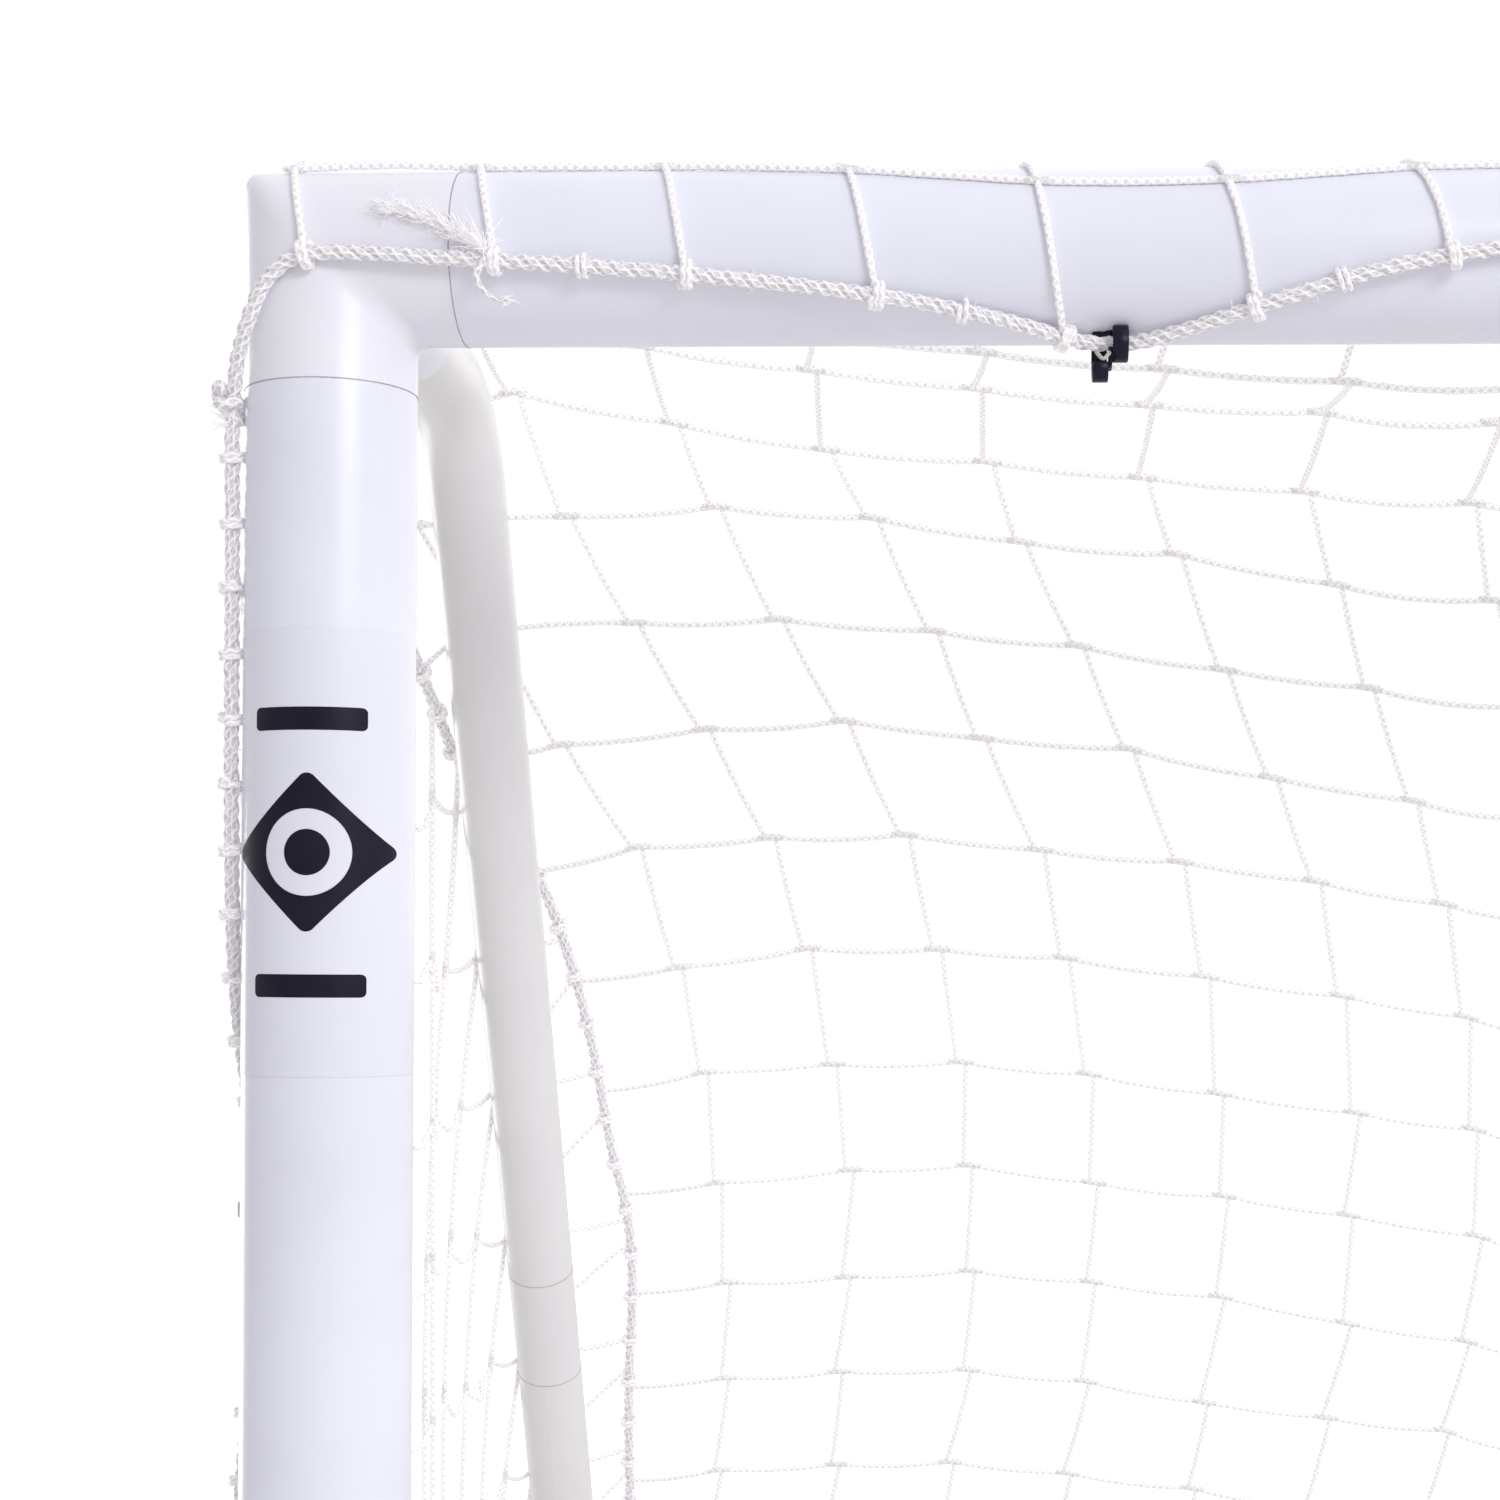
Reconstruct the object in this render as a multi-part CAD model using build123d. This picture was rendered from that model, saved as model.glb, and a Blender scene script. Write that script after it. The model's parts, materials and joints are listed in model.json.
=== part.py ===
from build123d import *
import math
import os

# A portable practice goal: a front frame of thick push-fit plastic tube, two bent
# stays and a thin base frame behind it, and a knotless net laced to border ropes.
# Millimetres. X is to the right, -Y is the side the ball comes from, +Z is up.
# The origin is on the ground, at the middle of the goal's footprint.

# ---- driving dimensions -------------------------------------------------------
goal_width = 1830.0          # over the outsides of the posts
goal_height = 1220.0         # to the top of the crossbar
mouth_tube_od = 68.0
mouth_tube_wall = 2.6
stay_tube_od = 38.0
stay_tube_wall = 2.4
socket_od = 44.0
fit_gap = 0.3                # radial gap between a spigot and the tube over it
front_plane_y = -418.7       # plane of the post and crossbar axes
base_depth = 847.0           # from the front plane to the back bar's axis
ridge_depth = 240.0          # from the front plane to the corner of the stay's bend
stay_bend_radius = 85.0
base_axis_z = 24.0           # height of the side tubes and the back bar
corner_leg = 54.0            # from a corner's centre to its shoulder
spigot_length = 75.0
arm_length = 122.0           # a corner's rear arm, from the post's axis
socket_depth = 58.0
stay_coupler_top = 720.0     # height of the upper seam of the stay's coupler
stay_coupler_length = 72.0
twine = 3.0
net_skin = 1.2               # thickness of the sheets that stand in for the netting
rope_radius = 3.25
button_radius = 5.75
button_from_seam = 50.0
button_stand = 2.2           # how far a button stands out of the tube
clip_pitch = 380.0
clip_width = 6.5
clip_angle = -74.0           # where a crossbar clip sits round the tube
post_clip_angle = -38.0      # where a post clip sits, turned to the back
post_clip_heights = (806.0, 446.0, 150.0)

# ---- worked out from them -----------------------------------------------------
mouth_r = mouth_tube_od / 2
mouth_bore_r = mouth_r - mouth_tube_wall
spigot_r = mouth_bore_r - fit_gap
spigot_bore_r = spigot_r - 3.0
stay_r = stay_tube_od / 2
stay_bore_r = stay_r - stay_tube_wall
socket_r = socket_od / 2
socket_bore_r = stay_r + fit_gap
post_x = goal_width / 2 - mouth_r
bar_z = goal_height - mouth_r
back_y = front_plane_y + base_depth
ridge_y = front_plane_y + ridge_depth
stay_start_y = front_plane_y + arm_length - socket_depth
stay_run = math.hypot(base_depth - ridge_depth, bar_z - base_axis_z)
stay_down = Vector(0, (base_depth - ridge_depth) / stay_run, -(bar_z - base_axis_z) / stay_run)
stay_axis = {"top": Vector(-post_x, ridge_y, bar_z), "foot": Vector(-post_x, back_y, base_axis_z)}
rope_track = mouth_r + rope_radius + 1.1      # rope centre from the axis of a mouth tube
base_rope_track = stay_r + rope_radius + 1.1  # rope centre from the axis of a base tube

X = Vector(1, 0, 0)
Y = Vector(0, 1, 0)
Z = Vector(0, 0, 1)


# ---- building blocks ----------------------------------------------------------
def rod(radius, start, end):
    run = end - start
    return Solid.make_cylinder(radius, run.length, Plane(origin=start, z_dir=run))


def pipe(outer_r, inner_r, start, end):
    margin = (end - start).normalized() * 1.0
    return rod(outer_r, start, end) - rod(inner_r, start - margin, end + margin)


def left_and_right(name, solid):
    return {name + "_left": solid, name + "_right": mirror(solid, about=Plane.YZ)}


def stay_point(height):
    """The point of the left stay's sloping axis at a given height."""
    along = (bar_z - height) / -stay_down.Z
    return stay_axis["top"] + stay_down * along


def swept(radius, path):
    profile = Plane(origin=path @ 0, z_dir=path % 0) * Circle(radius)
    return sweep(profile, path=path).solid()


def rope(name, points):
    """A rope along straight runs, joined by the largest arcs that the runs allow."""
    radii = []
    for before, here, after in zip(points, points[1:], points[2:]):
        turn = math.radians((here - before).get_angle(after - here))
        shorter = min((here - before).length, (after - here).length)
        radii.append(0.45 * shorter / math.tan(turn / 2))
    path = FilletPolyline(*points, radius=radii)
    solid = swept(rope_radius, path)
    print(name, "length", round(path.length), "tightest arc", round(min(radii)), "volume over section",
          round(solid.volume / (math.pi * rope_radius**2)))
    return solid


# ---- front frame --------------------------------------------------------------
def button_hole(centre, outward):
    return rod(button_radius + 0.35, centre + outward * 15, centre + outward * (mouth_r + 5))


def clip_hole(seat, outward, tube_r):
    return rod(2.9, seat + outward * (tube_r - 10), seat + outward * (tube_r + 5))


def post():
    low = Vector(-post_x, front_plane_y, corner_leg)
    high = Vector(-post_x, front_plane_y, bar_z - corner_leg)
    tube = pipe(mouth_r, mouth_bore_r, low, high)
    for end, step in ((low, Z), (high, Z * -1)):
        tube -= button_hole(end + step * button_from_seam, Y)
    for seat, outward in post_clip_seats():
        tube -= clip_hole(seat, outward, mouth_r)
    return tube


def crossbar_half():
    outer = Vector(-post_x + corner_leg, front_plane_y, bar_z)
    middle = Vector(-2.0, front_plane_y, bar_z)
    tube = pipe(mouth_r, mouth_bore_r, outer, middle)
    tube -= button_hole(outer + X * button_from_seam, Z)
    tube -= button_hole(middle - X * button_from_seam, Z)
    for seat, outward in crossbar_clip_seats()[:2]:
        tube -= clip_hole(seat, outward, mouth_r)
    return tube


def crossbar_coupler():
    reach = spigot_length + 2.0
    centre = Vector(0, front_plane_y, bar_z)
    sleeve = rod(spigot_r, centre - X * reach, centre + X * reach)
    sleeve += rod(mouth_r, centre - X * 2.0, centre + X * 2.0)
    sleeve -= rod(spigot_bore_r, centre - X * (reach + 1), centre + X * (reach + 1))
    for side in (-1, 1):
        sleeve -= button_hole(centre + X * side * (2.0 + button_from_seam), Z)
    return sleeve


def rear_arm(centre):
    end = centre + Y * arm_length
    arm = rod(socket_r, centre, end)
    bore = rod(socket_bore_r, end - Y * socket_depth, end + Y)
    return arm, bore


def top_corner():
    centre = Vector(-post_x, front_plane_y, bar_z)
    across = rod(mouth_r, centre - X * 2 * mouth_r, centre + X * corner_leg)
    upright = rod(mouth_r, centre + Z * 2 * mouth_r, centre - Z * corner_leg)
    reach = 8 * mouth_r
    mitre = Plane(origin=centre, z_dir=(1, 0, 1))
    halfspace = mitre * Box(reach, reach, reach, align=(Align.CENTER, Align.CENTER, Align.MIN))
    body = (across & halfspace) + (upright - halfspace)
    arm, bore = rear_arm(centre)
    body += arm
    for direction in (X, Z * -1):
        shoulder = centre + direction * corner_leg
        tip = shoulder + direction * spigot_length
        body += rod(spigot_r, shoulder, tip)
        body -= rod(spigot_bore_r, centre, tip + direction)
    body -= button_hole(centre + X * (corner_leg + button_from_seam), Z)
    body -= button_hole(centre - Z * (corner_leg + button_from_seam), Y)
    return body - bore


def bottom_corner():
    foot = Vector(-post_x, front_plane_y, 0)
    shoulder = foot + Z * corner_leg
    tip = shoulder + Z * spigot_length
    body = rod(mouth_r, foot, shoulder)
    body = chamfer(body.edges().group_by(Axis.Z)[0], 2.5)
    arm, bore = rear_arm(Vector(-post_x, front_plane_y, base_axis_z))
    body += arm + rod(spigot_r, shoulder, tip)
    body -= rod(spigot_bore_r, foot + Z * 8, tip + Z)
    body -= button_hole(shoulder + Z * button_from_seam, Y)
    return body - bore


# ---- stays and base frame -----------------------------------------------------
def stay_upper():
    start = Vector(-post_x, stay_start_y, bar_z)
    seam = stay_point(stay_coupler_top)
    turn = math.radians(Y.get_angle(stay_down))
    tangent = stay_bend_radius * math.tan(turn / 2)
    ridge = stay_axis["top"]
    bend_in = ridge - Y * tangent
    bend_out = ridge + stay_down * tangent
    path = Line(start, bend_in) + TangentArc(bend_in, bend_out, tangent=Y) + Line(bend_out, seam)
    return swept(stay_r, path) - swept(stay_bore_r, path)


def stay_coupler():
    top = stay_point(stay_coupler_top)
    foot = top + stay_down * stay_coupler_length
    plug_r = stay_bore_r - fit_gap
    collar = rod(stay_r, top, foot)
    plug = rod(plug_r, top - stay_down * 45, foot + stay_down * 45)
    return collar + plug - rod(plug_r - 2.2, top - stay_down * 46, foot + stay_down * 46)


def stay_lower():
    top = stay_point(stay_coupler_top) + stay_down * stay_coupler_length
    foot = stay_axis["foot"] - stay_down * (arm_length - socket_depth - 18)
    return pipe(stay_r, stay_bore_r, top, foot)


def rear_corner():
    """Three sockets that meet at the back: side tube, back bar and stay."""
    centre = stay_axis["foot"]
    ways = (Y * -1, X, stay_down * -1)
    reach = arm_length - 18
    body = Solid.make_sphere(socket_r, Plane(centre))
    for way in ways:
        body += rod(socket_r, centre, centre + way * reach)
    pad = Box(70, 60, 10, align=(Align.CENTER, Align.CENTER, Align.MIN))
    body += Pos(centre.X + 13, centre.Y - 8, 0) * fillet(pad.edges().filter_by(Axis.Z), 12)
    for way in ways:
        body -= rod(socket_bore_r, centre + way * (reach - socket_depth), centre + way * (reach + 1))
    return body


def side_tube():
    start = Vector(-post_x, front_plane_y + arm_length - socket_depth, base_axis_z)
    end = Vector(-post_x, back_y - (arm_length - 18 - socket_depth), base_axis_z)
    tube = pipe(stay_r, stay_bore_r, start, end)
    for seat, outward in side_clip_seats():
        tube -= clip_hole(seat, outward, stay_r)
    return tube


def back_bar_half():
    outer = Vector(-post_x + arm_length - 18 - socket_depth, back_y, base_axis_z)
    tube = pipe(stay_r, stay_bore_r, outer, Vector(-stay_coupler_length / 2, back_y, base_axis_z))
    for seat, outward in back_clip_seats()[:2]:
        tube -= clip_hole(seat, outward, stay_r)
    return tube


def back_bar_coupler():
    half = X * stay_coupler_length / 2
    plug = X * (stay_coupler_length / 2 + 45)
    centre = Vector(0, back_y, base_axis_z)
    plug_r = stay_bore_r - fit_gap
    solid = rod(stay_r, centre - half, centre + half) + rod(plug_r, centre - plug, centre + plug)
    return solid - rod(plug_r - 2.2, centre - plug * 1.1, centre + plug * 1.1)


# ---- spring buttons -----------------------------------------------------------
def button(centre, outward):
    """A domed peg with a flange that stops it under the spigot's wall."""
    stem_top = mouth_r + button_stand - 1.4
    flange_top = spigot_bore_r - 1.5
    stem = rod(button_radius, centre + outward * (flange_top - 1), centre + outward * stem_top)
    dome = rod(button_radius, centre + outward * stem_top, centre + outward * (mouth_r + button_stand))
    rim = dome.edges().sort_by(Axis(centre, outward))[-1]
    dome = fillet(rim, 1.3)
    flange = rod(button_radius + 1.8, centre + outward * (flange_top - 2.2), centre + outward * flange_top)
    return stem + dome + flange


def leaf_spring(centre, outward, inward_way):
    """A strip bent to a V inside the spigot: one leg on the wall, one under the button."""
    strip = 0.8
    top = spigot_bore_r - 1.5 - 2.2 - 0.5
    low = -(spigot_bore_r - 0.8)
    plane = Plane(origin=centre, x_dir=inward_way, z_dir=inward_way.cross(outward))
    bend = Spline((26, -4), (36, -16), (24, low), tangents=[(1, -1.1), (-1, 0)])
    line = Line((-7, top), (4, top)) + Line((4, top), (26, -4)) + bend + Line((24, low), (-7, low))
    strip_solid = extrude(trace(line, line_width=strip), amount=4.0, both=True)
    return plane.location * strip_solid


def button_sites():
    """Each button's name, the point of the tube's axis under it, its outward way and its spring's way."""
    first = corner_leg + button_from_seam
    sites = []
    for side, end in ((-1, "left"), (1, "right")):
        corner = Vector(side * post_x, front_plane_y, bar_z)
        foot = Vector(side * post_x, front_plane_y, 0)
        inner = Vector(side * (2.0 + button_from_seam), front_plane_y, bar_z)
        sites.append(("bar_end_" + end, corner - X * side * first, Z, X * side))
        sites.append(("bar_middle_" + end, inner, Z, X * -side))
        sites.append(("post_top_" + end, corner - Z * first, Y, Z))
        sites.append(("post_foot_" + end, foot + Z * first, Y, Z * -1))
    return sites


# ---- net clips ----------------------------------------------------------------
def net_clip(seat, outward, along, tube_r):
    """A plug-in clip: a barbed stem, a low base and two opposed hooks over the rope."""
    sideways = outward.cross(along)
    frame = Plane(origin=seat + outward * tube_r, x_dir=sideways, z_dir=along)
    rope_h = rope_radius + 1.1
    inner = rope_radius + 0.75
    outer = inner + 2.2
    ring = Pos(0, rope_h) * (Circle(outer) - Circle(inner))
    gate = Pos(0, rope_h) * Rot(0, 0, 52) * Pos(outer, 0) * Rectangle(outer * 2, 5.2)
    half = ring - gate
    hook = extrude(half, amount=clip_width)
    near = Pos(0, 0, 1.2) * hook
    far = Pos(0, 0, -1.2) * Rot(0, 180, 0) * hook
    base = Pos(0, 0.35) * Box(11, 2.3, 2 * clip_width + 2.4)
    base = fillet(base.edges().filter_by(Axis.Y), 2.0)
    stem = Rot(90, 0, 0) * Cylinder(2.6, 8, align=(Align.CENTER, Align.CENTER, Align.MIN))
    barb = Pos(0, -6.6, 0) * Rot(90, 0, 0) * Cone(3.3, 2.0, 2.6)
    clip = near + far + base - Pos(0, -tube_r, 0) * Cylinder(tube_r, 60)
    clip += stem + barb
    clip -= Pos(0, rope_h, 0) * Cylinder(inner, 60)
    return frame.location * clip


def polar(angle, radius):
    """Offset from a crossbar's axis: 0 is the front, 90 the top, -90 the underside."""
    a = math.radians(angle)
    return Vector(0, -math.cos(a), math.sin(a)) * radius


def round_post(side, angle, radius):
    """Offset from a post's axis: 0 is the outer side, positive towards the front."""
    a = math.radians(angle)
    return Vector(side * math.cos(a), -math.sin(a), 0) * radius


def bar_clip_spots():
    return [clip_pitch * step for step in (-1.5, -0.5, 0.5, 1.5)]


def crossbar_clip_seats():
    return [(Vector(x, front_plane_y, bar_z), polar(clip_angle, 1)) for x in bar_clip_spots()]


def post_clip_seats():
    out = round_post(-1, post_clip_angle, 1)
    return [(Vector(-post_x, front_plane_y, z), out) for z in post_clip_heights]


def side_clip_seats():
    spots = [front_plane_y + base_depth * part for part in (0.36, 0.66)]
    return [(Vector(-post_x, y, base_axis_z), X * -1) for y in spots]


def back_clip_seats():
    return [(Vector(x, back_y, base_axis_z), Y) for x in bar_clip_spots()]


def clip_row(seats, along, tube_r):
    return Compound([net_clip(seat, outward, along, tube_r) for seat, outward in seats])


# ---- ropes --------------------------------------------------------------------
# The rope between the corner and the first clip: distance along the bar, angle round it.
corner_run = ((0, -11), (55, -14), (115, -19), (165, -26), (212, -34), (252, -45), (285, -61))
# Half of the scallop between two clips: distance from the clip, angle round the bar.
scallop = ((32, -59), (58, -43), (92, -26), (128, -14), (190, -5))
# Over the corner to the post: height under the bar's axis, angle round the post.
corner_wrap = ((14, 66), (29, 50), (44, 34), (64, 19), (102, 16), (160, 15), (225, 13), (285, 2), (335, -18))
clip_run = 11.0              # half of the straight run of rope through a clip


def along_bar(x, angle, track):
    return Vector(x, front_plane_y, bar_z) + polar(angle, track)


def front_rope():
    clips = bar_clip_spots()
    bar = [(-post_x + u, angle) for u, angle in corner_run]
    for here, there in zip(clips, clips[1:] + [None]):
        bar += [(here - clip_run, clip_angle), (here + clip_run, clip_angle)]
        if there is not None:
            bar += [(here + u, angle) for u, angle in scallop]
            bar += [(there - u, angle) for u, angle in reversed(scallop[:-1])]
    bar += [(post_x - u, angle) for u, angle in reversed(corner_run)]
    across = [along_bar(x, angle, rope_track + 0.5 * (abs(x) > post_x - 60)) for x, angle in bar]
    post_run = [(bar_z - drop, angle) for drop, angle in corner_wrap]
    for high, low in zip(post_clip_heights, post_clip_heights[1:] + (None,)):
        post_run += [(high + clip_run, post_clip_angle), (high - clip_run, post_clip_angle)]
        if low is not None:
            span = high - low
            post_run += [(high - span * 0.18, -22), (high - span * 0.5, -4), (low + span * 0.18, -22)]
    post_run += [(post_clip_heights[-1] - 42, -33), (post_clip_heights[-1] - 72, -24)]
    down = {}
    for side in (-1, 1):
        down[side] = [Vector(side * post_x, front_plane_y, z) + round_post(side, angle, rope_track + 0.6 * (angle > 18))
                      for z, angle in post_run]
    return rope("front_rope", down[-1][::-1] + across + down[1])


# Half of the base rope: from the post's foot to the middle of the back bar.
# How far outside the side tube's axis, how far behind the front plane, height over the base axis.
base_side_run = ((38, 18, 30), (35, 40, 15), (30, 80, 6), (26.4, 120, 1))
base_corner_run = ((27, -120, 1), (28.4, -42, 0.5), (27.4, 9, 0), (10, 28, 0), (-40, 28.6, 0), (-118, 27, 1))


def base_rope():
    first, last = [seat.Y for seat, _ in side_clip_seats()]
    side = [Vector(-post_x - out, front_plane_y + y, base_axis_z + z) for out, y, z in base_side_run]
    for y in (first, last):
        side += [Vector(-post_x - base_rope_track, y - clip_run, base_axis_z),
                 Vector(-post_x - base_rope_track, y + clip_run, base_axis_z)]
        side += [Vector(-post_x - base_rope_track - 1.5, (first + last) / 2, base_axis_z + 2)] * (y == first)
    side += [Vector(-post_x - out, back_y + y, base_axis_z + z) for out, y, z in base_corner_run]
    for x in bar_clip_spots()[:2]:
        side += [Vector(x - clip_run, back_y + base_rope_track, base_axis_z),
                 Vector(x + clip_run, back_y + base_rope_track, base_axis_z)]
        side += [Vector(x + clip_pitch / 2, back_y + base_rope_track + 1.5, base_axis_z + 2)]
    other = [Vector(-p.X, p.Y, p.Z) for p in reversed(side[:-1])]
    return rope("base_rope", side + other)


# The seam rope's upper part, by hand, from where the top corner's arm starts: how far to the
# right of the post's axis, how far behind the front plane, height from the bar's axis.
seam_start = ((-34.8, 38, -6), (-34.6, 86, -24), (-34.6, 142, -50), (-34.4, 200, -80), (-33, 256, -110),
              (-29, 302, -140), (-26, 330, -160), (-23, 354, -177), (-6, 376, -195))
# Its lower part runs behind the stay: height from the bar's axis, how far to the right.
seam_down = ((-230, 11), (-278, 26), (-334, 36), (-392, 41), (-440, 50), (-490, 48), (-538, 42), (-600, 38),
             (-664, 35), (-730, 29), (-800, 23), (-872, 14), (-944, 6), (-1016, -3))
seam_stand = 33.5            # from the stay's axis to the rope's, square to the stay


def seam_rope():
    """Beside the stay's bend, round the back of the stay, then down behind it."""
    corner = Vector(-post_x, front_plane_y, bar_z)
    behind = Y * (seam_stand / -stay_down.Z)
    points = [corner + Vector(*offset) for offset in seam_start]
    points += [stay_point(bar_z + drop) + behind + X * shift for drop, shift in seam_down]
    return rope("seam_rope", points)


# ---- netting, as thin closed sheets of its outer shape ------------------------
# The back sheet's line over a stay, front to back: how far behind the front plane, height from
# the bar's axis, and how far the middle of the sheet lies back and down from there.
back_line = ((8, 36.6, 0, 0), (34, 33, 0, -9), (100, 27, 0, -72), (175, 27, 0, -85), (247, 12, 2, -80),
             (289, -33, 6, -87), (428, -300, 6, -60), (637, -700, 3, -45), (874, -1150, 0, 0))
back_sections = (-1, -0.88, -0.7, -0.4, 0, 0.4, 0.7, 0.88, 1)


def triangle(a, b, c):
    return Face(Wire.make_polygon([a, b, c], close=True))


def strip(line, other):
    """Triangles between two lines of as many points."""
    faces = []
    for a, b, c, d in zip(line, line[1:], other, other[1:]):
        faces += [triangle(a, b, c), triangle(b, d, c)]
    return faces


def back_net():
    """Roof and back in one sheet that sags between the stays."""
    sections = []
    for part in back_sections:
        sag = 1 - part * part
        outer = [Vector(part * (post_x - 4), front_plane_y + y + back * sag, bar_z + z + drop * sag)
                 for y, z, back, drop in back_line]
        sections.append((outer, [point - Vector(0, 1, 1) * (net_skin * 0.8) for point in outer]))
    faces = strip(*sections[0]) + strip(*sections[-1])
    for (outer, inner), (next_outer, next_inner) in zip(sections, sections[1:]):
        faces += strip(outer, next_outer) + strip(inner, next_inner)
        for end in (0, -1):
            faces += strip((outer[end], next_outer[end]), (inner[end], next_inner[end]))
    return Solid(Shell(faces))


def side_net():
    """One flat sheet between the post, the stay and the base tube."""
    front = front_plane_y + 16
    top = bar_z + 12
    outline = [(front, 40), (front, top), (ridge_y - 20, top), (ridge_y + 26, bar_z - 12),
               (back_y + 6, base_axis_z + 12), (back_y - 20, base_axis_z + 8), (front + 60, base_axis_z + 8)]
    sheet = extrude(Plane.YZ * Polygon(*outline, align=None), amount=net_skin)
    return Pos(-post_x - mouth_r - 6, 0, 0) * sheet


# ---- label on the left post ---------------------------------------------------
def label_sleeve(inner, outer, low, high):
    centre = Vector(-post_x, front_plane_y, 0)
    ring = pipe(outer, inner, centre + Z * low, centre + Z * high)
    front = Pos(-post_x, front_plane_y - 50, (low + high) / 2) * Box(100, 100, high - low + 10)
    return ring & front


def label_print():
    """A plain diamond with a ring in it, and two bars: a mark that means nothing."""
    middle = (label_high + label_low) / 2
    shape = Rot(0, 0, 45) * RectangleRounded(46, 46, 4) - Circle(17) + Circle(9)
    shape += Pos(0, 52) * RectangleRounded(44, 9, 2)
    shape += Pos(0, -52) * RectangleRounded(44, 9, 2)
    plane = Plane(origin=(-post_x, front_plane_y, middle), x_dir=(1, 0, 0), z_dir=(0, -1, 0))
    ink = extrude(plane * shape, amount=60)
    return ink & label_sleeve(mouth_r + 0.15, mouth_r + 0.25, label_low, label_high)


label_high = bar_z - 151
label_low = bar_z - 326

# ---- all the nodes ------------------------------------------------------------
nodes = {"crossbar_coupler": crossbar_coupler(), "back_bar_coupler": back_bar_coupler()}
nodes["crossbar_clips"] = clip_row(crossbar_clip_seats(), X, mouth_r)
nodes["back_bar_clips"] = clip_row(back_clip_seats(), X, stay_r)
nodes["border_rope"] = front_rope()
nodes["base_rope"] = base_rope()
nodes["back_net"] = back_net()
nodes["label_film"] = label_sleeve(mouth_r, mouth_r + 0.15, label_low, label_high)
nodes["label_print"] = label_print()
pairs = {
    "post": post,
    "crossbar": crossbar_half,
    "top_corner": top_corner,
    "bottom_corner": bottom_corner,
    "stay_upper": stay_upper,
    "stay_coupler": stay_coupler,
    "stay_lower": stay_lower,
    "rear_corner": rear_corner,
    "side_tube": side_tube,
    "back_bar": back_bar_half,
    "seam_rope": seam_rope,
    "side_net": side_net,
}
for name, make in pairs.items():
    nodes.update(left_and_right(name, make()))
nodes.update(left_and_right("post_clips", clip_row(post_clip_seats(), Z, mouth_r)))
nodes.update(left_and_right("side_clips", clip_row(side_clip_seats(), Y, stay_r)))
for name, centre, outward, way in button_sites():
    nodes["button_" + name] = button(centre, outward)
    nodes["spring_" + name] = leaf_spring(centre, outward, way)

os.makedirs("parts", exist_ok=True)
for name, solid in nodes.items():
    export_step(solid, "parts/" + name + ".step")
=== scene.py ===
import json
import math

import bmesh
import bpy
import numpy as np
from mathutils import Matrix, Vector


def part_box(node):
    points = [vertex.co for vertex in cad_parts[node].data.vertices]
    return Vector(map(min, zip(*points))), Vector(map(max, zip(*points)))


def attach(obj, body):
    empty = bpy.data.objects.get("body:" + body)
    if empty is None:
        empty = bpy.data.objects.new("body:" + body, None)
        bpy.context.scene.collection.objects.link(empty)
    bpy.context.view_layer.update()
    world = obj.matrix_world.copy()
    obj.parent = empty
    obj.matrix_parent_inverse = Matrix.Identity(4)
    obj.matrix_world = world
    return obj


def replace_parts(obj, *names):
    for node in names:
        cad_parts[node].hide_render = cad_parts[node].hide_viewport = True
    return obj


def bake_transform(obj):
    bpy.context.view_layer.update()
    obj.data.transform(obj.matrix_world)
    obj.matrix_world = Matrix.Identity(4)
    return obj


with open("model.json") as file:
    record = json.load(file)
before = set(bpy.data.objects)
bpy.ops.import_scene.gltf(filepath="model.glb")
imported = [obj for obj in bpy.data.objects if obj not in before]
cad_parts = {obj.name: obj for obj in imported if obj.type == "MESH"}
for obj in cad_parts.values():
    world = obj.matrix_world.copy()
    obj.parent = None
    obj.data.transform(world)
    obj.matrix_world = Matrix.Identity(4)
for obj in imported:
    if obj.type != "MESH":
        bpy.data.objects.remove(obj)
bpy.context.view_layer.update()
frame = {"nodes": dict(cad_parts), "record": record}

nodes = frame["nodes"]

# ---- places and sizes, read from the frame (metres) ---------------------------
post_low, post_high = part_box("post_left")
bar_low, bar_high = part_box("crossbar_left")
stay_low, stay_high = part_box("side_tube_left")
rear_low, rear_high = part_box("back_bar_left")
MOUTH_R = (post_high[0] - post_low[0]) / 2
POST_X = -(post_low[0] + post_high[0]) / 2
FRONT_Y = (post_low[1] + post_high[1]) / 2
BAR_Z = (bar_low[2] + bar_high[2]) / 2
STAY_R = (stay_high[2] - stay_low[2]) / 2
BASE_Z = (stay_low[2] + stay_high[2]) / 2
BACK_Y = (rear_low[1] + rear_high[1]) / 2
CORNER_LEG = BAR_Z - post_high[2]
FOOT_LEG = post_low[2]
RIDGE = 0.240                # from the front plane to the corner of the stay's bend
STAY_BEND = 0.085            # radius of that bend
STAY_COUPLER_TOP, STAY_COUPLER = 0.720, 0.072      # the coupler's upper seam, and its length
TWINE_R = 0.0015
ROPE_R = 0.00325
rng = np.random.default_rng(7)


# ---- mesh helpers -------------------------------------------------------------
def new_object(name, data):
    """An object in the scene for a mesh, a light or a camera."""
    obj = bpy.data.objects.new(name, data)
    bpy.context.scene.collection.objects.link(obj)
    return obj


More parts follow.
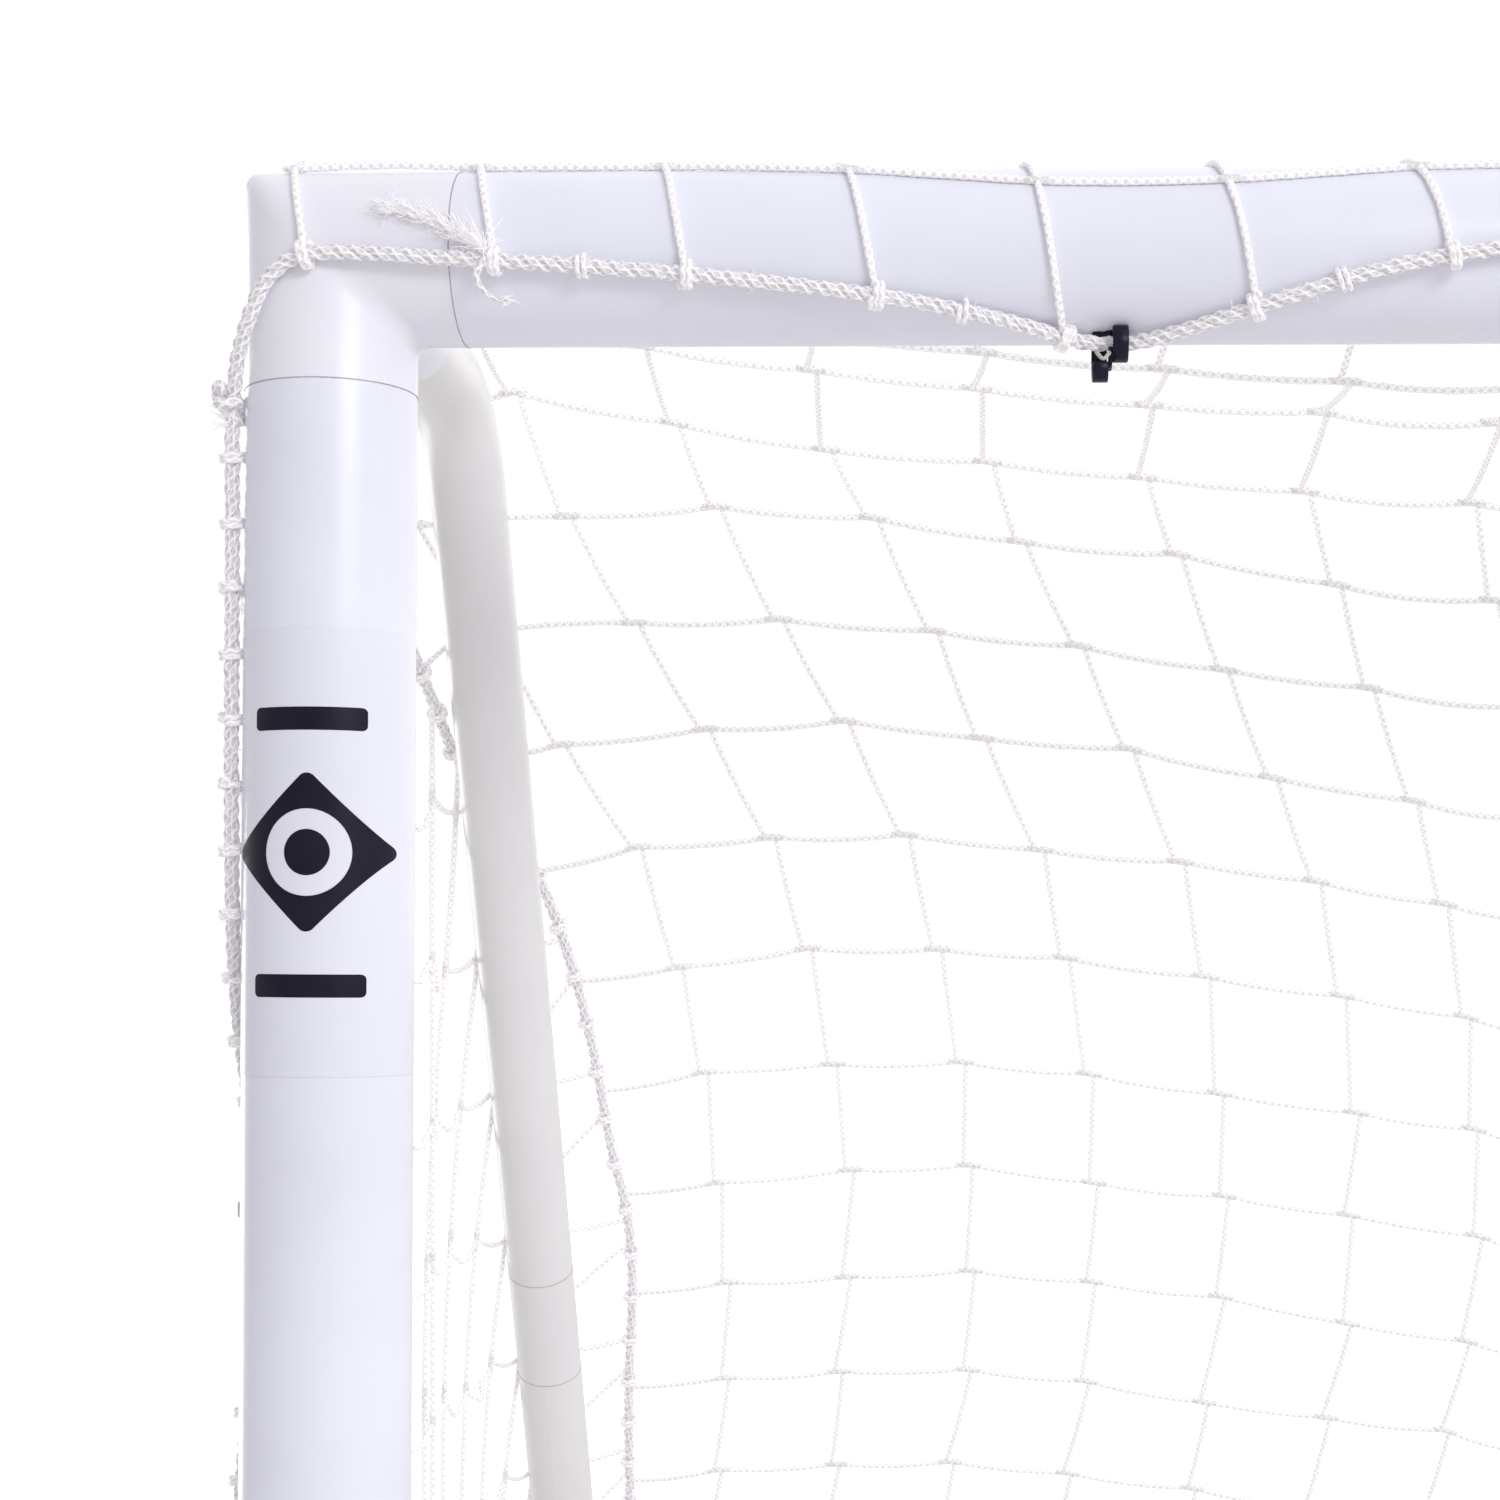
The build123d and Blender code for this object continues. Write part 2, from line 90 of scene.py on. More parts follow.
class MeshBag:
    """Collects vertices, quads and UVs of many small tubes, then makes one object of them."""

    def __init__(self):
        self.points, self.faces, self.uvs, self.count = [], [], [], 0

    def add(self, points, faces, uvs):
        self.points.append(points)
        self.faces.append(faces + self.count)
        self.uvs.append(uvs)
        self.count += len(points)

    def build(self, name, material, body="frame", slot=None):
        points = np.concatenate(self.points)
        faces = np.concatenate(self.faces)
        mesh = bpy.data.meshes.new(name)
        mesh.vertices.add(len(points))
        mesh.vertices.foreach_set("co", points.astype(np.float32).ravel())
        mesh.loops.add(faces.size)
        mesh.loops.foreach_set("vertex_index", faces.ravel().astype(np.int32))
        mesh.polygons.add(len(faces))
        mesh.polygons.foreach_set("loop_start", np.arange(0, faces.size, 4, dtype=np.int32))
        layer = mesh.uv_layers.new(name="along")
        layer.data.foreach_set("uv", np.concatenate(self.uvs).astype(np.float32).ravel())
        mesh.update(calc_edges=True)
        mesh.validate()
        mesh.polygons.foreach_set("use_smooth", np.ones(len(mesh.polygons), bool))
        obj = new_object(name, mesh)
        mesh.materials.append(material)
        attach(obj, body)
        return obj


def unit(v):
    v = np.asarray(v, float)
    return v / np.maximum(np.linalg.norm(v, axis=-1, keepdims=True), 1e-12)


def frames_along(path, hint=None):
    """Tangent, side and up vectors along a polyline, turned as little as possible."""
    tangent = unit(np.gradient(path, axis=0))
    side = np.empty_like(tangent)
    start = np.cross(tangent[0], hint if hint is not None else (0.31, 0.22, 0.92))
    side[0] = unit(start)
    for i in range(1, len(path)):
        v = side[i - 1] - tangent[i] * np.dot(side[i - 1], tangent[i])
        side[i] = unit(v)
    return tangent, side, np.cross(tangent, side)


def arc_length(path):
    return np.concatenate([[0], np.cumsum(np.linalg.norm(np.diff(path, axis=0), axis=1))])


def hermite(t, a, b, slope_a, slope_b):
    """The cubic from a to b with the given slopes, at t from 0 to 1."""
    return ((2 * t**3 - 3 * t**2 + 1) * a + (t**3 - 2 * t**2 + t) * slope_a
            + (3 * t**2 - 2 * t**3) * b + (t**3 - t**2) * slope_b)


def resample(path, step):
    """A smooth line through the points of path, with points of its own about step apart."""
    length = arc_length(path)
    count = max(int(round(length[-1] / step)), 2)
    at = np.linspace(0, length[-1], count + 1)
    slopes = np.gradient(path, length, axis=0)
    k = np.clip(np.searchsorted(length, at, side="right") - 1, 0, len(path) - 2)
    h = (length[k + 1] - length[k])[:, None]
    t = ((at - length[k]) / h[:, 0])[:, None]
    return hermite(t, path[k], path[k + 1], slopes[k] * h, slopes[k + 1] * h)


def point_at(path, position, at):
    """Where a line is when its running position, one value per point, has reached at."""
    return np.stack([np.interp(at, position, path[:, k]) for k in range(3)], axis=-1)


def nearest(path, point):
    """The number of the point of a line that is nearest to a place, measured along the axes."""
    return np.abs(path - point).sum(axis=1).argmin()


GRIDS = {}


def tube_grid(rings, sides):
    """Faces of a closed tube, with the ring and the turn (0 to 1) of every face's corners."""
    if (rings, sides) not in GRIDS:
        ring, side = np.meshgrid(np.arange(rings - 1), np.arange(sides), indexing="ij")
        corners = [(0, 0), (0, 1), (1, 1), (1, 0)]
        at_ring = np.stack([ring + up for up, _ in corners], axis=-1).reshape(-1, 4)
        at_side = np.stack([side + on for _, on in corners], axis=-1).reshape(-1, 4)
        faces = at_ring * sides + at_side % sides
        s = np.arange(1, sides // 2)
        cap = np.stack([s - 1, s, sides - 1 - s, sides - s], axis=-1)
        last = (rings - 1) * sides
        faces = np.concatenate([faces, cap[:, ::-1], cap + last])
        at_ring = np.concatenate([at_ring, np.zeros_like(cap), np.full_like(cap, rings - 1)])
        turn = np.concatenate([at_side, cap[:, ::-1], cap]) / sides
        GRIDS[rings, sides] = faces, at_ring, turn
    return GRIDS[rings, sides]


def tube(bag, path, radius, sides=8, hint=None):
    """A closed tube along path. radius is one number or one per point."""
    rings = len(path)
    _, side, up = frames_along(path, hint)
    a = np.arange(sides) * 2 * math.pi / sides
    r = np.broadcast_to(np.asarray(radius, float), (rings,))[:, None, None]
    points = path[:, None] + side[:, None] * np.cos(a)[:, None] * r + up[:, None] * np.sin(a)[:, None] * r
    faces, at_ring, turn = tube_grid(rings, sides)
    bag.add(points.reshape(-1, 3), faces, np.stack([turn, arc_length(path)[at_ring]], axis=-1).reshape(-1, 2))


# ---- materials ----------------------------------------------------------------
def new_material(name, color, roughness, **sockets):
    material = bpy.data.materials.new(name)
    material.use_nodes = True
    shader = material.node_tree.nodes["Principled BSDF"]
    shader.inputs["Base Color"].default_value = (*color, 1)
    shader.inputs["Roughness"].default_value = roughness
    for key, value in sockets.items():
        shader.inputs[key.replace("_", " ")].default_value = value
    return material, material.node_tree, shader


def add_node(tree, kind, **values):
    node = tree.nodes.new(kind)
    for key, value in values.items():
        if key in node.inputs:
            node.inputs[key].default_value = value
        else:
            setattr(node, key, value)
    return node


def noise_on(tree, scale, detail, stretch=None):
    place = tree.nodes.new("ShaderNodeTexCoord")
    noise = add_node(tree, "ShaderNodeTexNoise", Scale=scale, Detail=detail)
    if stretch is None:
        tree.links.new(place.outputs["Object"], noise.inputs["Vector"])
    else:
        mapping = tree.nodes.new("ShaderNodeMapping")
        mapping.inputs["Scale"].default_value = stretch
        tree.links.new(place.outputs["Object"], mapping.inputs["Vector"])
        tree.links.new(mapping.outputs[0], noise.inputs["Vector"])
    return noise


def ramp(tree, source, low, high, low_value, high_value):
    node = add_node(tree, "ShaderNodeMapRange")
    for key, value in (("From Min", low), ("From Max", high), ("To Min", low_value), ("To Max", high_value)):
        node.inputs[key].default_value = value
    tree.links.new(source, node.inputs["Value"])
    return node.outputs["Result"]


def mix_color(tree, factor, a, b):
    node = add_node(tree, "ShaderNodeMix", data_type="RGBA")
    node.inputs["A"].default_value = (*a, 1)
    node.inputs["B"].default_value = (*b, 1)
    tree.links.new(factor, node.inputs["Factor"])
    return node.outputs["Result"]


def bump(tree, shader, height, strength, distance):
    node = add_node(tree, "ShaderNodeBump", Strength=strength, Distance=distance)
    tree.links.new(height, node.inputs["Height"])
    tree.links.new(node.outputs["Normal"], shader.inputs["Normal"])


def white_plastic(name, clean, dusty, roughness):
    """Extruded uPVC: nearly even, with faint handling marks, scuffs and die lines."""
    material, tree, shader = new_material(name, clean, roughness, Coat_Weight=0.12, Coat_Roughness=0.18)
    shader.inputs["IOR"].default_value = 1.5
    cloud = noise_on(tree, 9.0, 4.0)
    scuff = noise_on(tree, 160.0, 5.0, stretch=(1.0, 1.0, 0.25))
    soiled = ramp(tree, cloud.outputs["Fac"], 0.42, 0.72, 0.0, 1.0)
    color = mix_color(tree, soiled, clean, dusty)
    tree.links.new(color, shader.inputs["Base Color"])
    rough = ramp(tree, scuff.outputs["Fac"], 0.3, 0.75, roughness * 0.98, roughness * 1.06)
    tree.links.new(rough, shader.inputs["Roughness"])
    bump(tree, shader, scuff.outputs["Fac"], 0.005, 0.0002)
    return material


def dark_plastic(name, color, roughness):
    material, tree, shader = new_material(name, color, roughness, Specular_IOR_Level=0.18)
    grain = noise_on(tree, 900.0, 3.0)
    tone = noise_on(tree, 60.0, 2.0)
    brighter = tuple(c * 1.9 + 0.004 for c in color)
    tree.links.new(mix_color(tree, tone.outputs["Fac"], color, brighter), shader.inputs["Base Color"])
    bump(tree, shader, grain.outputs["Fac"], 0.25, 0.0003)
    return material


def spring_metal():
    material, tree, shader = new_material("spring_steel_look", (0.55, 0.55, 0.57), 0.3, Metallic=1.0)
    grain = noise_on(tree, 500.0, 2.0, stretch=(1, 12, 1))
    tree.links.new(ramp(tree, grain.outputs["Fac"], 0.3, 0.7, 0.22, 0.42), shader.inputs["Roughness"])
    return material


def braid(name, clean, shade, per_turn, pitch, depth, glow, lift):
    """Braided polypropylene: strands wound both ways along the UV length.

    glow is how much light goes through the fibres; lift is a small emission for a bright exposure: painted
    light, the fibres glow though they are no lamp.
    """
    material, tree, shader = new_material(
        name, clean, 0.62, Sheen_Weight=0.25, Sheen_Roughness=0.4,
        Subsurface_Weight=glow, Subsurface_Scale=0.004, Emission_Strength=lift)
    shader.inputs["Subsurface Radius"].default_value = (1.0, 0.95, 0.95)
    shader.inputs["Emission Color"].default_value = (1.0, 0.98, 0.98, 1)
    place = tree.nodes.new("ShaderNodeTexCoord")
    split = tree.nodes.new("ShaderNodeSeparateXYZ")
    tree.links.new(place.outputs["UV"], split.inputs[0])

    def strands(direction):
        along = add_node(tree, "ShaderNodeMath", operation="MULTIPLY_ADD")
        along.inputs[1].default_value = direction * 2 * math.pi / pitch
        tree.links.new(split.outputs["Y"], along.inputs[0])
        around = add_node(tree, "ShaderNodeMath", operation="MULTIPLY")
        around.inputs[1].default_value = 2 * math.pi * per_turn
        tree.links.new(split.outputs["X"], around.inputs[0])
        tree.links.new(around.outputs[0], along.inputs[2])
        wave = add_node(tree, "ShaderNodeMath", operation="SINE")
        tree.links.new(along.outputs[0], wave.inputs[0])
        return wave.outputs[0]

    cross = add_node(tree, "ShaderNodeMath", operation="MAXIMUM")
    tree.links.new(strands(1.0), cross.inputs[0])
    tree.links.new(strands(-1.0), cross.inputs[1])
    fibre = noise_on(tree, 1400.0, 2.0)
    height = add_node(tree, "ShaderNodeMath", operation="MULTIPLY_ADD")
    height.inputs[1].default_value = 0.35
    tree.links.new(fibre.outputs["Fac"], height.inputs[0])
    tree.links.new(cross.outputs[0], height.inputs[2])
    # Painted shade: the grooves between the strands get the darker shade colour.
    groove = ramp(tree, cross.outputs[0], -0.2, 0.9, 0.0, 1.0)
    tree.links.new(mix_color(tree, groove, shade, clean), shader.inputs["Base Color"])
    bump(tree, shader, height.outputs[0], 0.7, depth)
    return material


tube_white = white_plastic("mouth_tube_look", (0.79, 0.80, 0.88), (0.75, 0.755, 0.83), 0.28)
corner_white = white_plastic("corner_look", (0.82, 0.82, 0.88), (0.78, 0.78, 0.84), 0.32)
stay_white = white_plastic("stay_tube_look", (0.76, 0.75, 0.745), (0.72, 0.71, 0.71), 0.36)
button_white = white_plastic("button_look", (0.85, 0.85, 0.88), (0.8, 0.8, 0.83), 0.4)
clip_black = dark_plastic("clip_look", (0.005, 0.004, 0.013), 0.34)
spring_steel = spring_metal()
# Twine and rope get a small emission (lift): painted light that makes them glow brighter than the lamps light
# them.
twine_look = braid("twine_look", (0.96, 0.94, 0.95), (0.75, 0.69, 0.72),
                   per_turn=2.0, pitch=0.0040, depth=0.0006, glow=0.6, lift=0.165)
rope_look = braid("rope_look", (0.94, 0.92, 0.94), (0.70, 0.65, 0.69),
                  per_turn=3.0, pitch=0.0050, depth=0.0006, glow=0.3, lift=0.085)
film_gloss = white_plastic("label_film_look", (0.768, 0.775, 0.85), (0.745, 0.75, 0.825), 0.2)
# The loose fibres get a small emission: painted light, they glow a little though they are no lamp.
fibre_look, _, _ = new_material("fibre_look", (0.93, 0.90, 0.92), 0.6, Emission_Strength=0.12)
link_grey = dark_plastic("clip_link_look", (0.34, 0.33, 0.33), 0.3)
# Thin dark rings at the fittings' ends: painted shadow of the gap where each fitting ends.
painted_seam_shadow = dark_plastic("seam_gap_look", (0.30, 0.25, 0.26), 0.7)

SLOT_LOOKS = {
    "mouth_tube": tube_white,
    "corner_moulding": corner_white,
    "stay_tube": stay_white,
    "button_plastic": button_white,
    "spring_steel": spring_steel,
    "clip_plastic": clip_black,
    "rope": rope_look,
    "netting": twine_look,
    "label_film": film_gloss,
    "label_print": clip_black,
}
for part in frame["record"]["subparts"]:
    obj = nodes[part["node"]]
    obj.data.materials.clear()
    obj.data.materials.append(SLOT_LOOKS[part["material_slot"]])


# ---- the route of a rope, a strand pulled tight, and rods that strands rest on --
def mm(*values):
    return np.array(values, float) / 1000


def spline(points):
    """The points of a quadratic NURBS curve that has the given points as its controls."""
    curve = bpy.data.curves.new("route", "CURVE")
    curve.dimensions = "3D"
    line = curve.splines.new("NURBS")
    line.points.add(len(points) - 1)
    line.points.foreach_set("co", np.c_[points, np.ones(len(points))].astype(np.float32).ravel())
    line.order_u = 3
    line.use_endpoint_u = True
    line.resolution_u = 10
    carrier = bpy.data.objects.new("route", curve)
    mesh = bpy.data.meshes.new_from_object(carrier)
    found = np.empty(len(mesh.vertices) * 3)
    mesh.vertices.foreach_get("co", found)
    bpy.data.objects.remove(carrier)
    bpy.data.curves.remove(curve)
    bpy.data.meshes.remove(mesh)
    return found.reshape(-1, 3)


def smooth_value(control, at):
    """A smooth curve through a few given (position, value) pairs."""
    x, y = np.array(control, float).T
    slope = np.gradient(y, x)
    at = np.clip(at, x[0], x[-1])
    k = np.clip(np.searchsorted(x, at, side="right") - 1, 0, len(x) - 2)
    h = x[k + 1] - x[k]
    t = (at - x[k]) / h
    return hermite(t, y[k], y[k + 1], h * slope[k], h * slope[k + 1])


def push_out(points, rods):
    """Moves the points that are inside a rod out to its surface. A rod is a line and a radius."""
    flat = points.reshape(-1, 3)
    for line, radius in rods:
        near = np.all((flat > line.min(axis=0) - radius) & (flat < line.max(axis=0) + radius), axis=1)
        if not near.any():
            continue
        p = flat[near][:, None, :]
        a, step = line[None, :-1], np.diff(line, axis=0)[None]
        t = np.clip(((p - a) * step).sum(-1) / (step * step).sum(-1), 0, 1)[..., None]
        away = p - (a + step * t)
        distance = np.linalg.norm(away, axis=-1)
        pick = distance.argmin(axis=1)
        rows = np.arange(len(pick))
        distance, away = distance[rows, pick], away[rows, pick]
        lift = np.maximum(radius - distance, 0) / np.maximum(distance, 1e-9)
        flat[near] += away * lift[:, None]
    return flat.reshape(points.shape)


def tighten(strands, rods, rounds=70):
    """Pulls strands of few points straight between their ends, over the rods in their way."""
    for _ in range(rounds):
        middle = 0.5 * (strands[:, :-2] + strands[:, 2:])
        strands[:, 1:-1] = push_out(0.4 * strands[:, 1:-1] + 0.6 * middle, rods)
    return strands


def on_bar(x, angle, radius):
    """A point round the crossbar: 0 is the front, 90 the top, -90 the underside."""
    a = np.radians(angle)
    return np.stack([x, -np.cos(a) * radius, np.sin(a) * radius], axis=-1)


def on_post(z, angle, radius):
    """A point round the left post: 0 is the outer side, positive towards the front."""
    a = np.radians(angle)
    return np.stack([-np.cos(a) * radius, -np.sin(a) * radius, z], axis=-1)


# Points below are in the net's own frame: metres from the left post's axis, from the front
# plane and from the crossbar's axis.
ORIGIN = np.array([-POST_X, FRONT_Y, BAR_Z])
SPAN = 2 * POST_X
GROUND = -BAR_Z
BASE = BASE_Z - BAR_Z
DEPTH = BACK_Y - FRONT_Y
SLOPE = (DEPTH - RIDGE) / -BASE


def as_it_is(points):
    return points


def mirrored(points):
    return points * (-1, 1, 1) + (SPAN, 0, 0)


BOTH_SIDES = (as_it_is, mirrored)


def stay_line():
    """The axis of the left stay: level, round its bend, and down to the base."""
    turn = math.pi / 2 - math.atan(SLOPE)
    start = RIDGE - STAY_BEND * math.tan(turn / 2)
    arc = [(0, start + STAY_BEND * math.sin(a), STAY_BEND * math.cos(a) - STAY_BEND)
           for a in np.linspace(0, turn, 12)]
    return np.array([(0, 0, 0)] + arc + [(0, DEPTH, BASE)])


# The tubes, widened to where the middle of a strand on them runs: the crossbar, then the stay, the
# post and the side tube of each side, then the back bar.
RODS = [(np.array([(-0.05, 0, 0), (SPAN + 0.05, 0, 0)]), MOUTH_R + TWINE_R)]
for face in BOTH_SIDES:
    RODS += [(face(stay_line()), STAY_R + TWINE_R),
             (face(np.array([(0, 0, 0), (0, 0, GROUND)])), MOUTH_R + TWINE_R),
             (face(np.array([(0, 0, BASE), (0, DEPTH, BASE)])), STAY_R + TWINE_R)]
RODS.append((np.array([(0, DEPTH, BASE), (SPAN, DEPTH, BASE)]), STAY_R + TWINE_R))
CROSSBAR = RODS[:1]
LEFT_CORNER = RODS[:3]


def kept_off(rods, gap):
    """The same rods, for something whose middle stays a gap away from their surface."""
    return [(line, radius - TWINE_R + gap) for line, radius in rods]


# ---- ropes: the routes that the CAD's ropes follow -----------------------------
CLIP_GAP = 0.0011            # between a rope in its clip and the tube
ROPE_TRACK = MOUTH_R + ROPE_R + CLIP_GAP
CLIP_ANGLE, POST_CLIP_ANGLE = -74, -38
CLIP_RUN = 0.011             # the rope is straight this far to both sides of a clip
CLIP_PITCH = 0.380
CLIPS = [SPAN / 2 + CLIP_PITCH * step for step in (-1.5, -0.5, 0.5, 1.5)]
POST_CLIPS = [height - BAR_Z for height in (0.806, 0.446, 0.150)]
BASE_CLIPS = (0.36, 0.66)    # parts of the way along a side tube
# On the crossbar: mm from the post's axis, or from a clip, and the angle of on_bar.
CORNER_RUN = ((0, -8), (55, -14), (115, -19), (165, -26), (212, -34), (252, -45), (285, -61))
SCALLOP = ((32, -59), (58, -43), (92, -26), (128, -14), (190, -5))
# On the post: mm below the crossbar's axis, and the angle of on_post.
CORNER_WRAP = ((14, 66), (29, 50), (44, 34), (64, 19), (102, 16), (160, 15), (225, 13), (285, 2), (335, -18))
POST_SCALLOP = ((0.18, -22), (0.5, -4), (0.82, -22))      # part of the way between two clips


def border_route():
    """Up the left post, over the corner, along the crossbar in scallops and down the right post."""
    bar = [(u / 1000, angle) for u, angle in CORNER_RUN]
    for here, there in zip(CLIPS, CLIPS[1:] + [None]):
        bar += [(here - CLIP_RUN, CLIP_ANGLE), (here + CLIP_RUN, CLIP_ANGLE)]
        if there is not None:
            bar += [(here + u / 1000, angle) for u, angle in SCALLOP]
            bar += [(there - u / 1000, angle) for u, angle in reversed(SCALLOP[:-1])]
    bar += [(SPAN - u / 1000, angle) for u, angle in reversed(CORNER_RUN)]
    across = [on_bar(x, angle, ROPE_TRACK) for x, angle in bar]
    post = [(-drop / 1000, angle) for drop, angle in CORNER_WRAP]
    for high, low in zip(POST_CLIPS, POST_CLIPS[1:] + [None]):
        post += [(high + CLIP_RUN, POST_CLIP_ANGLE), (high - CLIP_RUN, POST_CLIP_ANGLE)]
        if low is not None:
            post += [(high - (high - low) * part, angle) for part, angle in POST_SCALLOP]
    post += [(POST_CLIPS[-1] - 0.042, -33), (POST_CLIPS[-1] - 0.072, -24)]
    down = np.array([on_post(z, angle, ROPE_TRACK + 0.0006 * (angle > 18)) for z, angle in post])
    return np.concatenate([down[::-1], across, mirrored(down)])


def base_route():
    """Along the left side tube, the back bar and the right side tube."""
    side = [(-out, y, z) for out, y, z in ((38, 18, 30), (35, 40, 15), (30, 80, 6), (26.4, 120, 1))]
    first, last = (DEPTH * part * 1000 for part in BASE_CLIPS)
    track = (STAY_R + ROPE_R + CLIP_GAP) * 1000
    straight = CLIP_RUN * 1000
    for y in (first, last):
        side += [(-track, y - straight, 0), (-track, y + straight, 0)]
        side += [(-track - 1.5, (first + last) / 2, 2)] * (y == first)
    back = DEPTH * 1000
    corner = ((27, -120, 1), (28.4, -42, 0.5), (27.4, 9, 0), (10, 28, 0), (-40, 28.6, 0), (-118, 27, 1))
    side += [(-out, back + y, z) for out, y, z in corner]
    for clip in CLIPS[:2]:
        x = clip * 1000
        side += [(x - straight, back + track, 0), (x + straight, back + track, 0),
                 (x + CLIP_PITCH * 500, back + track + 1.5, 2)]
    side = mm(*side) + (0, 0, BASE)
    return np.concatenate([side, mirrored(side[-2::-1])])


# Beside the stay: x, y and z. Behind it: height, and how far the rope is from the stay's plane.
SEAM_START = ((-34.8, 38, -6), (-34.6, 86, -24), (-34.6, 142, -50), (-34.4, 200, -80), (-33, 256, -110),
              (-29, 302, -140), (-26, 330, -160), (-23, 354, -177), (-6, 376, -195))
SEAM_DOWN = ((-230, 11), (-278, 26), (-334, 36), (-392, 41), (-440, 50), (-490, 48), (-538, 42), (-600, 38),
             (-664, 35), (-730, 29), (-800, 23), (-872, 14), (-944, 6), (-1016, -3))
SEAM_STAND = 33.5            # mm from the stay's axis to the rope behind it


def seam_route():
    """Beside the left stay's bend, round the back of the stay, then down behind it."""
    behind = SEAM_STAND * math.hypot(1, SLOPE)
    down = [(shift, RIDGE * 1000 - z * SLOPE + behind, z) for z, shift in SEAM_DOWN]
    return mm(*SEAM_START, *down)


ROPE_STEP = 0.002            # between the points of a rope's route
BORDER = resample(spline(border_route()), ROPE_STEP)
BORDER = push_out(BORDER, kept_off(CROSSBAR, ROPE_R + 0.0002))
BASE_ROPE = resample(spline(base_route()), ROPE_STEP)
SEAM = resample(spline(seam_route()), ROPE_STEP)

ROPE_LAY = 0.0195            # length of one turn of the rope's strands
ROPE_STRANDS = 3
STRAND_TRACK = 0.00165       # from the rope's middle to a strand's
STRAND_R = 0.00158


def laid_rope(name, node, path, seed):
    """Three strands laid round each other, a little uneven, in place of the CAD's plain rope."""
    bag = MeshBag()
    pick = np.random.default_rng(seed)
    length = arc_length(path)
    wander = np.interp(length, np.linspace(0, length[-1], 30), pick.normal(0, 0.5, 30))
    _, side, up = frames_along(path)
    for strand in range(ROPE_STRANDS):
        a = 2 * math.pi * (length / ROPE_LAY + strand / ROPE_STRANDS) + wander
        offset = side * np.cos(a)[:, None] + up * np.sin(a)[:, None]
        swell = 1 + 0.05 * np.interp(length, np.linspace(0, length[-1], 400), pick.normal(0, 1, 400))
        tube(bag, path + offset * STRAND_TRACK, STRAND_R * swell)
    piece = bag.build(name, rope_look, slot="rope")
    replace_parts(piece, node)


def to_world(path):
    return path + ORIGIN


laid_rope("border_rope_laid", "border_rope", to_world(BORDER), 11)
laid_rope("base_rope_laid", "base_rope", to_world(BASE_ROPE), 12)
laid_rope("seam_rope_laid_left", "seam_rope_left", to_world(SEAM), 13)
laid_rope("seam_rope_laid_right", "seam_rope_right", to_world(mirrored(SEAM)), 14)

# ---- the back net: 26 meshes across, 23 from the crossbar to the base rope -------
COLUMNS = 26                 # strands 0 to 24 run down; -1 and 25 are the seam ropes
ROWS = 23
PITCH = SPAN / 24
BANDS = 5                    # the panel is drawn as this many pieces
KNOT_WANDER = 0.0016         # spread of the knots about their places
SIDE_STEP = 0.0026           # how far a strand leaves a joint beside where it came in
# Row against how far that row has slid towards the middle, and row against its height (mm).
SLIDE = ((0, 0), (3, -32), (5, -32), (7, 15), (9, 72), (12, 109), (15, 97), (19, 50), (23, 0))
HEIGHT = ((5, -2), (6, -50), (7, -101), (8, -155), (9, -212), (12, -403), (15, -595), (23, -1152))
SEAM_ROWS = (0, 0, 36, 82, 130, 180, 230, 283)      # mm along the seam rope
# Rows of the roof: mm behind the front plane, mm above the crossbar's axis, and the dip at the middle.
ROOF = {2: (36, 30, -14), 3: (100, 20, -60), 4: (175, 24, -66), 5: (249, 10, -76)}


def bar_knot_angle(c, x):
    """How far round the crossbar the first row lies: nearer to the front at a clip than between two."""
    return 48 + 30 * math.exp(-c / 2) - 15 * math.cos(2 * math.pi * (x / 1000 - CLIPS[0]) / CLIP_PITCH)


def back_knot(c, r):
    """Where strand c of the left half crosses row r."""
    width = 1 - ((12 - c) / 12) ** 2
    if r == 0:
        if c > 0:
            return BORDER[np.abs(BORDER[:, 0] - c * PITCH).argmin()]
        return BORDER[nearest(BORDER, (0, -0.036, -0.012))]
    if r == ROWS:
        return BASE_ROPE[nearest(BASE_ROPE, (max(c, 0) * PITCH, DEPTH + 0.028, BASE))]
    if c < 0:
        if r < len(SEAM_ROWS):
            return SEAM[np.abs(arc_length(SEAM) - SEAM_ROWS[r] / 1000).argmin()]
        z = smooth_value(HEIGHT, r) - 20 * (1 - max(r - 15, 0) / 8)
        return SEAM[np.abs(SEAM[:, 2] - z / 1000).argmin()]
    # A row slides less towards the goal's middle, and its strands fan out a little on the roof.
    lean = math.cos(math.pi * max(c - 5, 0) / 14)
    spread = np.interp(r, (1, 3, 6, 9), (0, 5.5, 5.5, 0)) * np.interp(c, (0, 7, 12), (-4, 3, 0))
    x = c * PITCH * 1000 + smooth_value(SLIDE, r) * lean + spread
    if r == 1:
        return on_bar(x / 1000, bar_knot_angle(c, x), MOUTH_R + TWINE_R)
    if r in ROOF:
        y, z, drop = ROOF[r]
        if c == 0:
            return mm(x + 6, y, z - 9 * (r - 1))
        return mm(x, y + 12 * math.exp(-c / 2) * (r == 5), z + drop * width + 4.5 * math.exp(-(c - 1) ** 2))
    # Behind the stays the net bellies out, droops between the seam ropes, and is level at the base.
    z = smooth_value(HEIGHT, r)
    y = RIDGE * 1000 + 25 - z * SLOPE - 14 * width
    fade = 1 - (max(r - 13, 0) / 10) ** 2
    fall = 13 * (math.hypot(c - 2, 1) - 1)
    droop = fall / (1 + fall / 400) if c > 2 else 2 * (2 - c) ** 2
    return mm(x, y, z - droop * fade)


STRAND_POINTS = 9


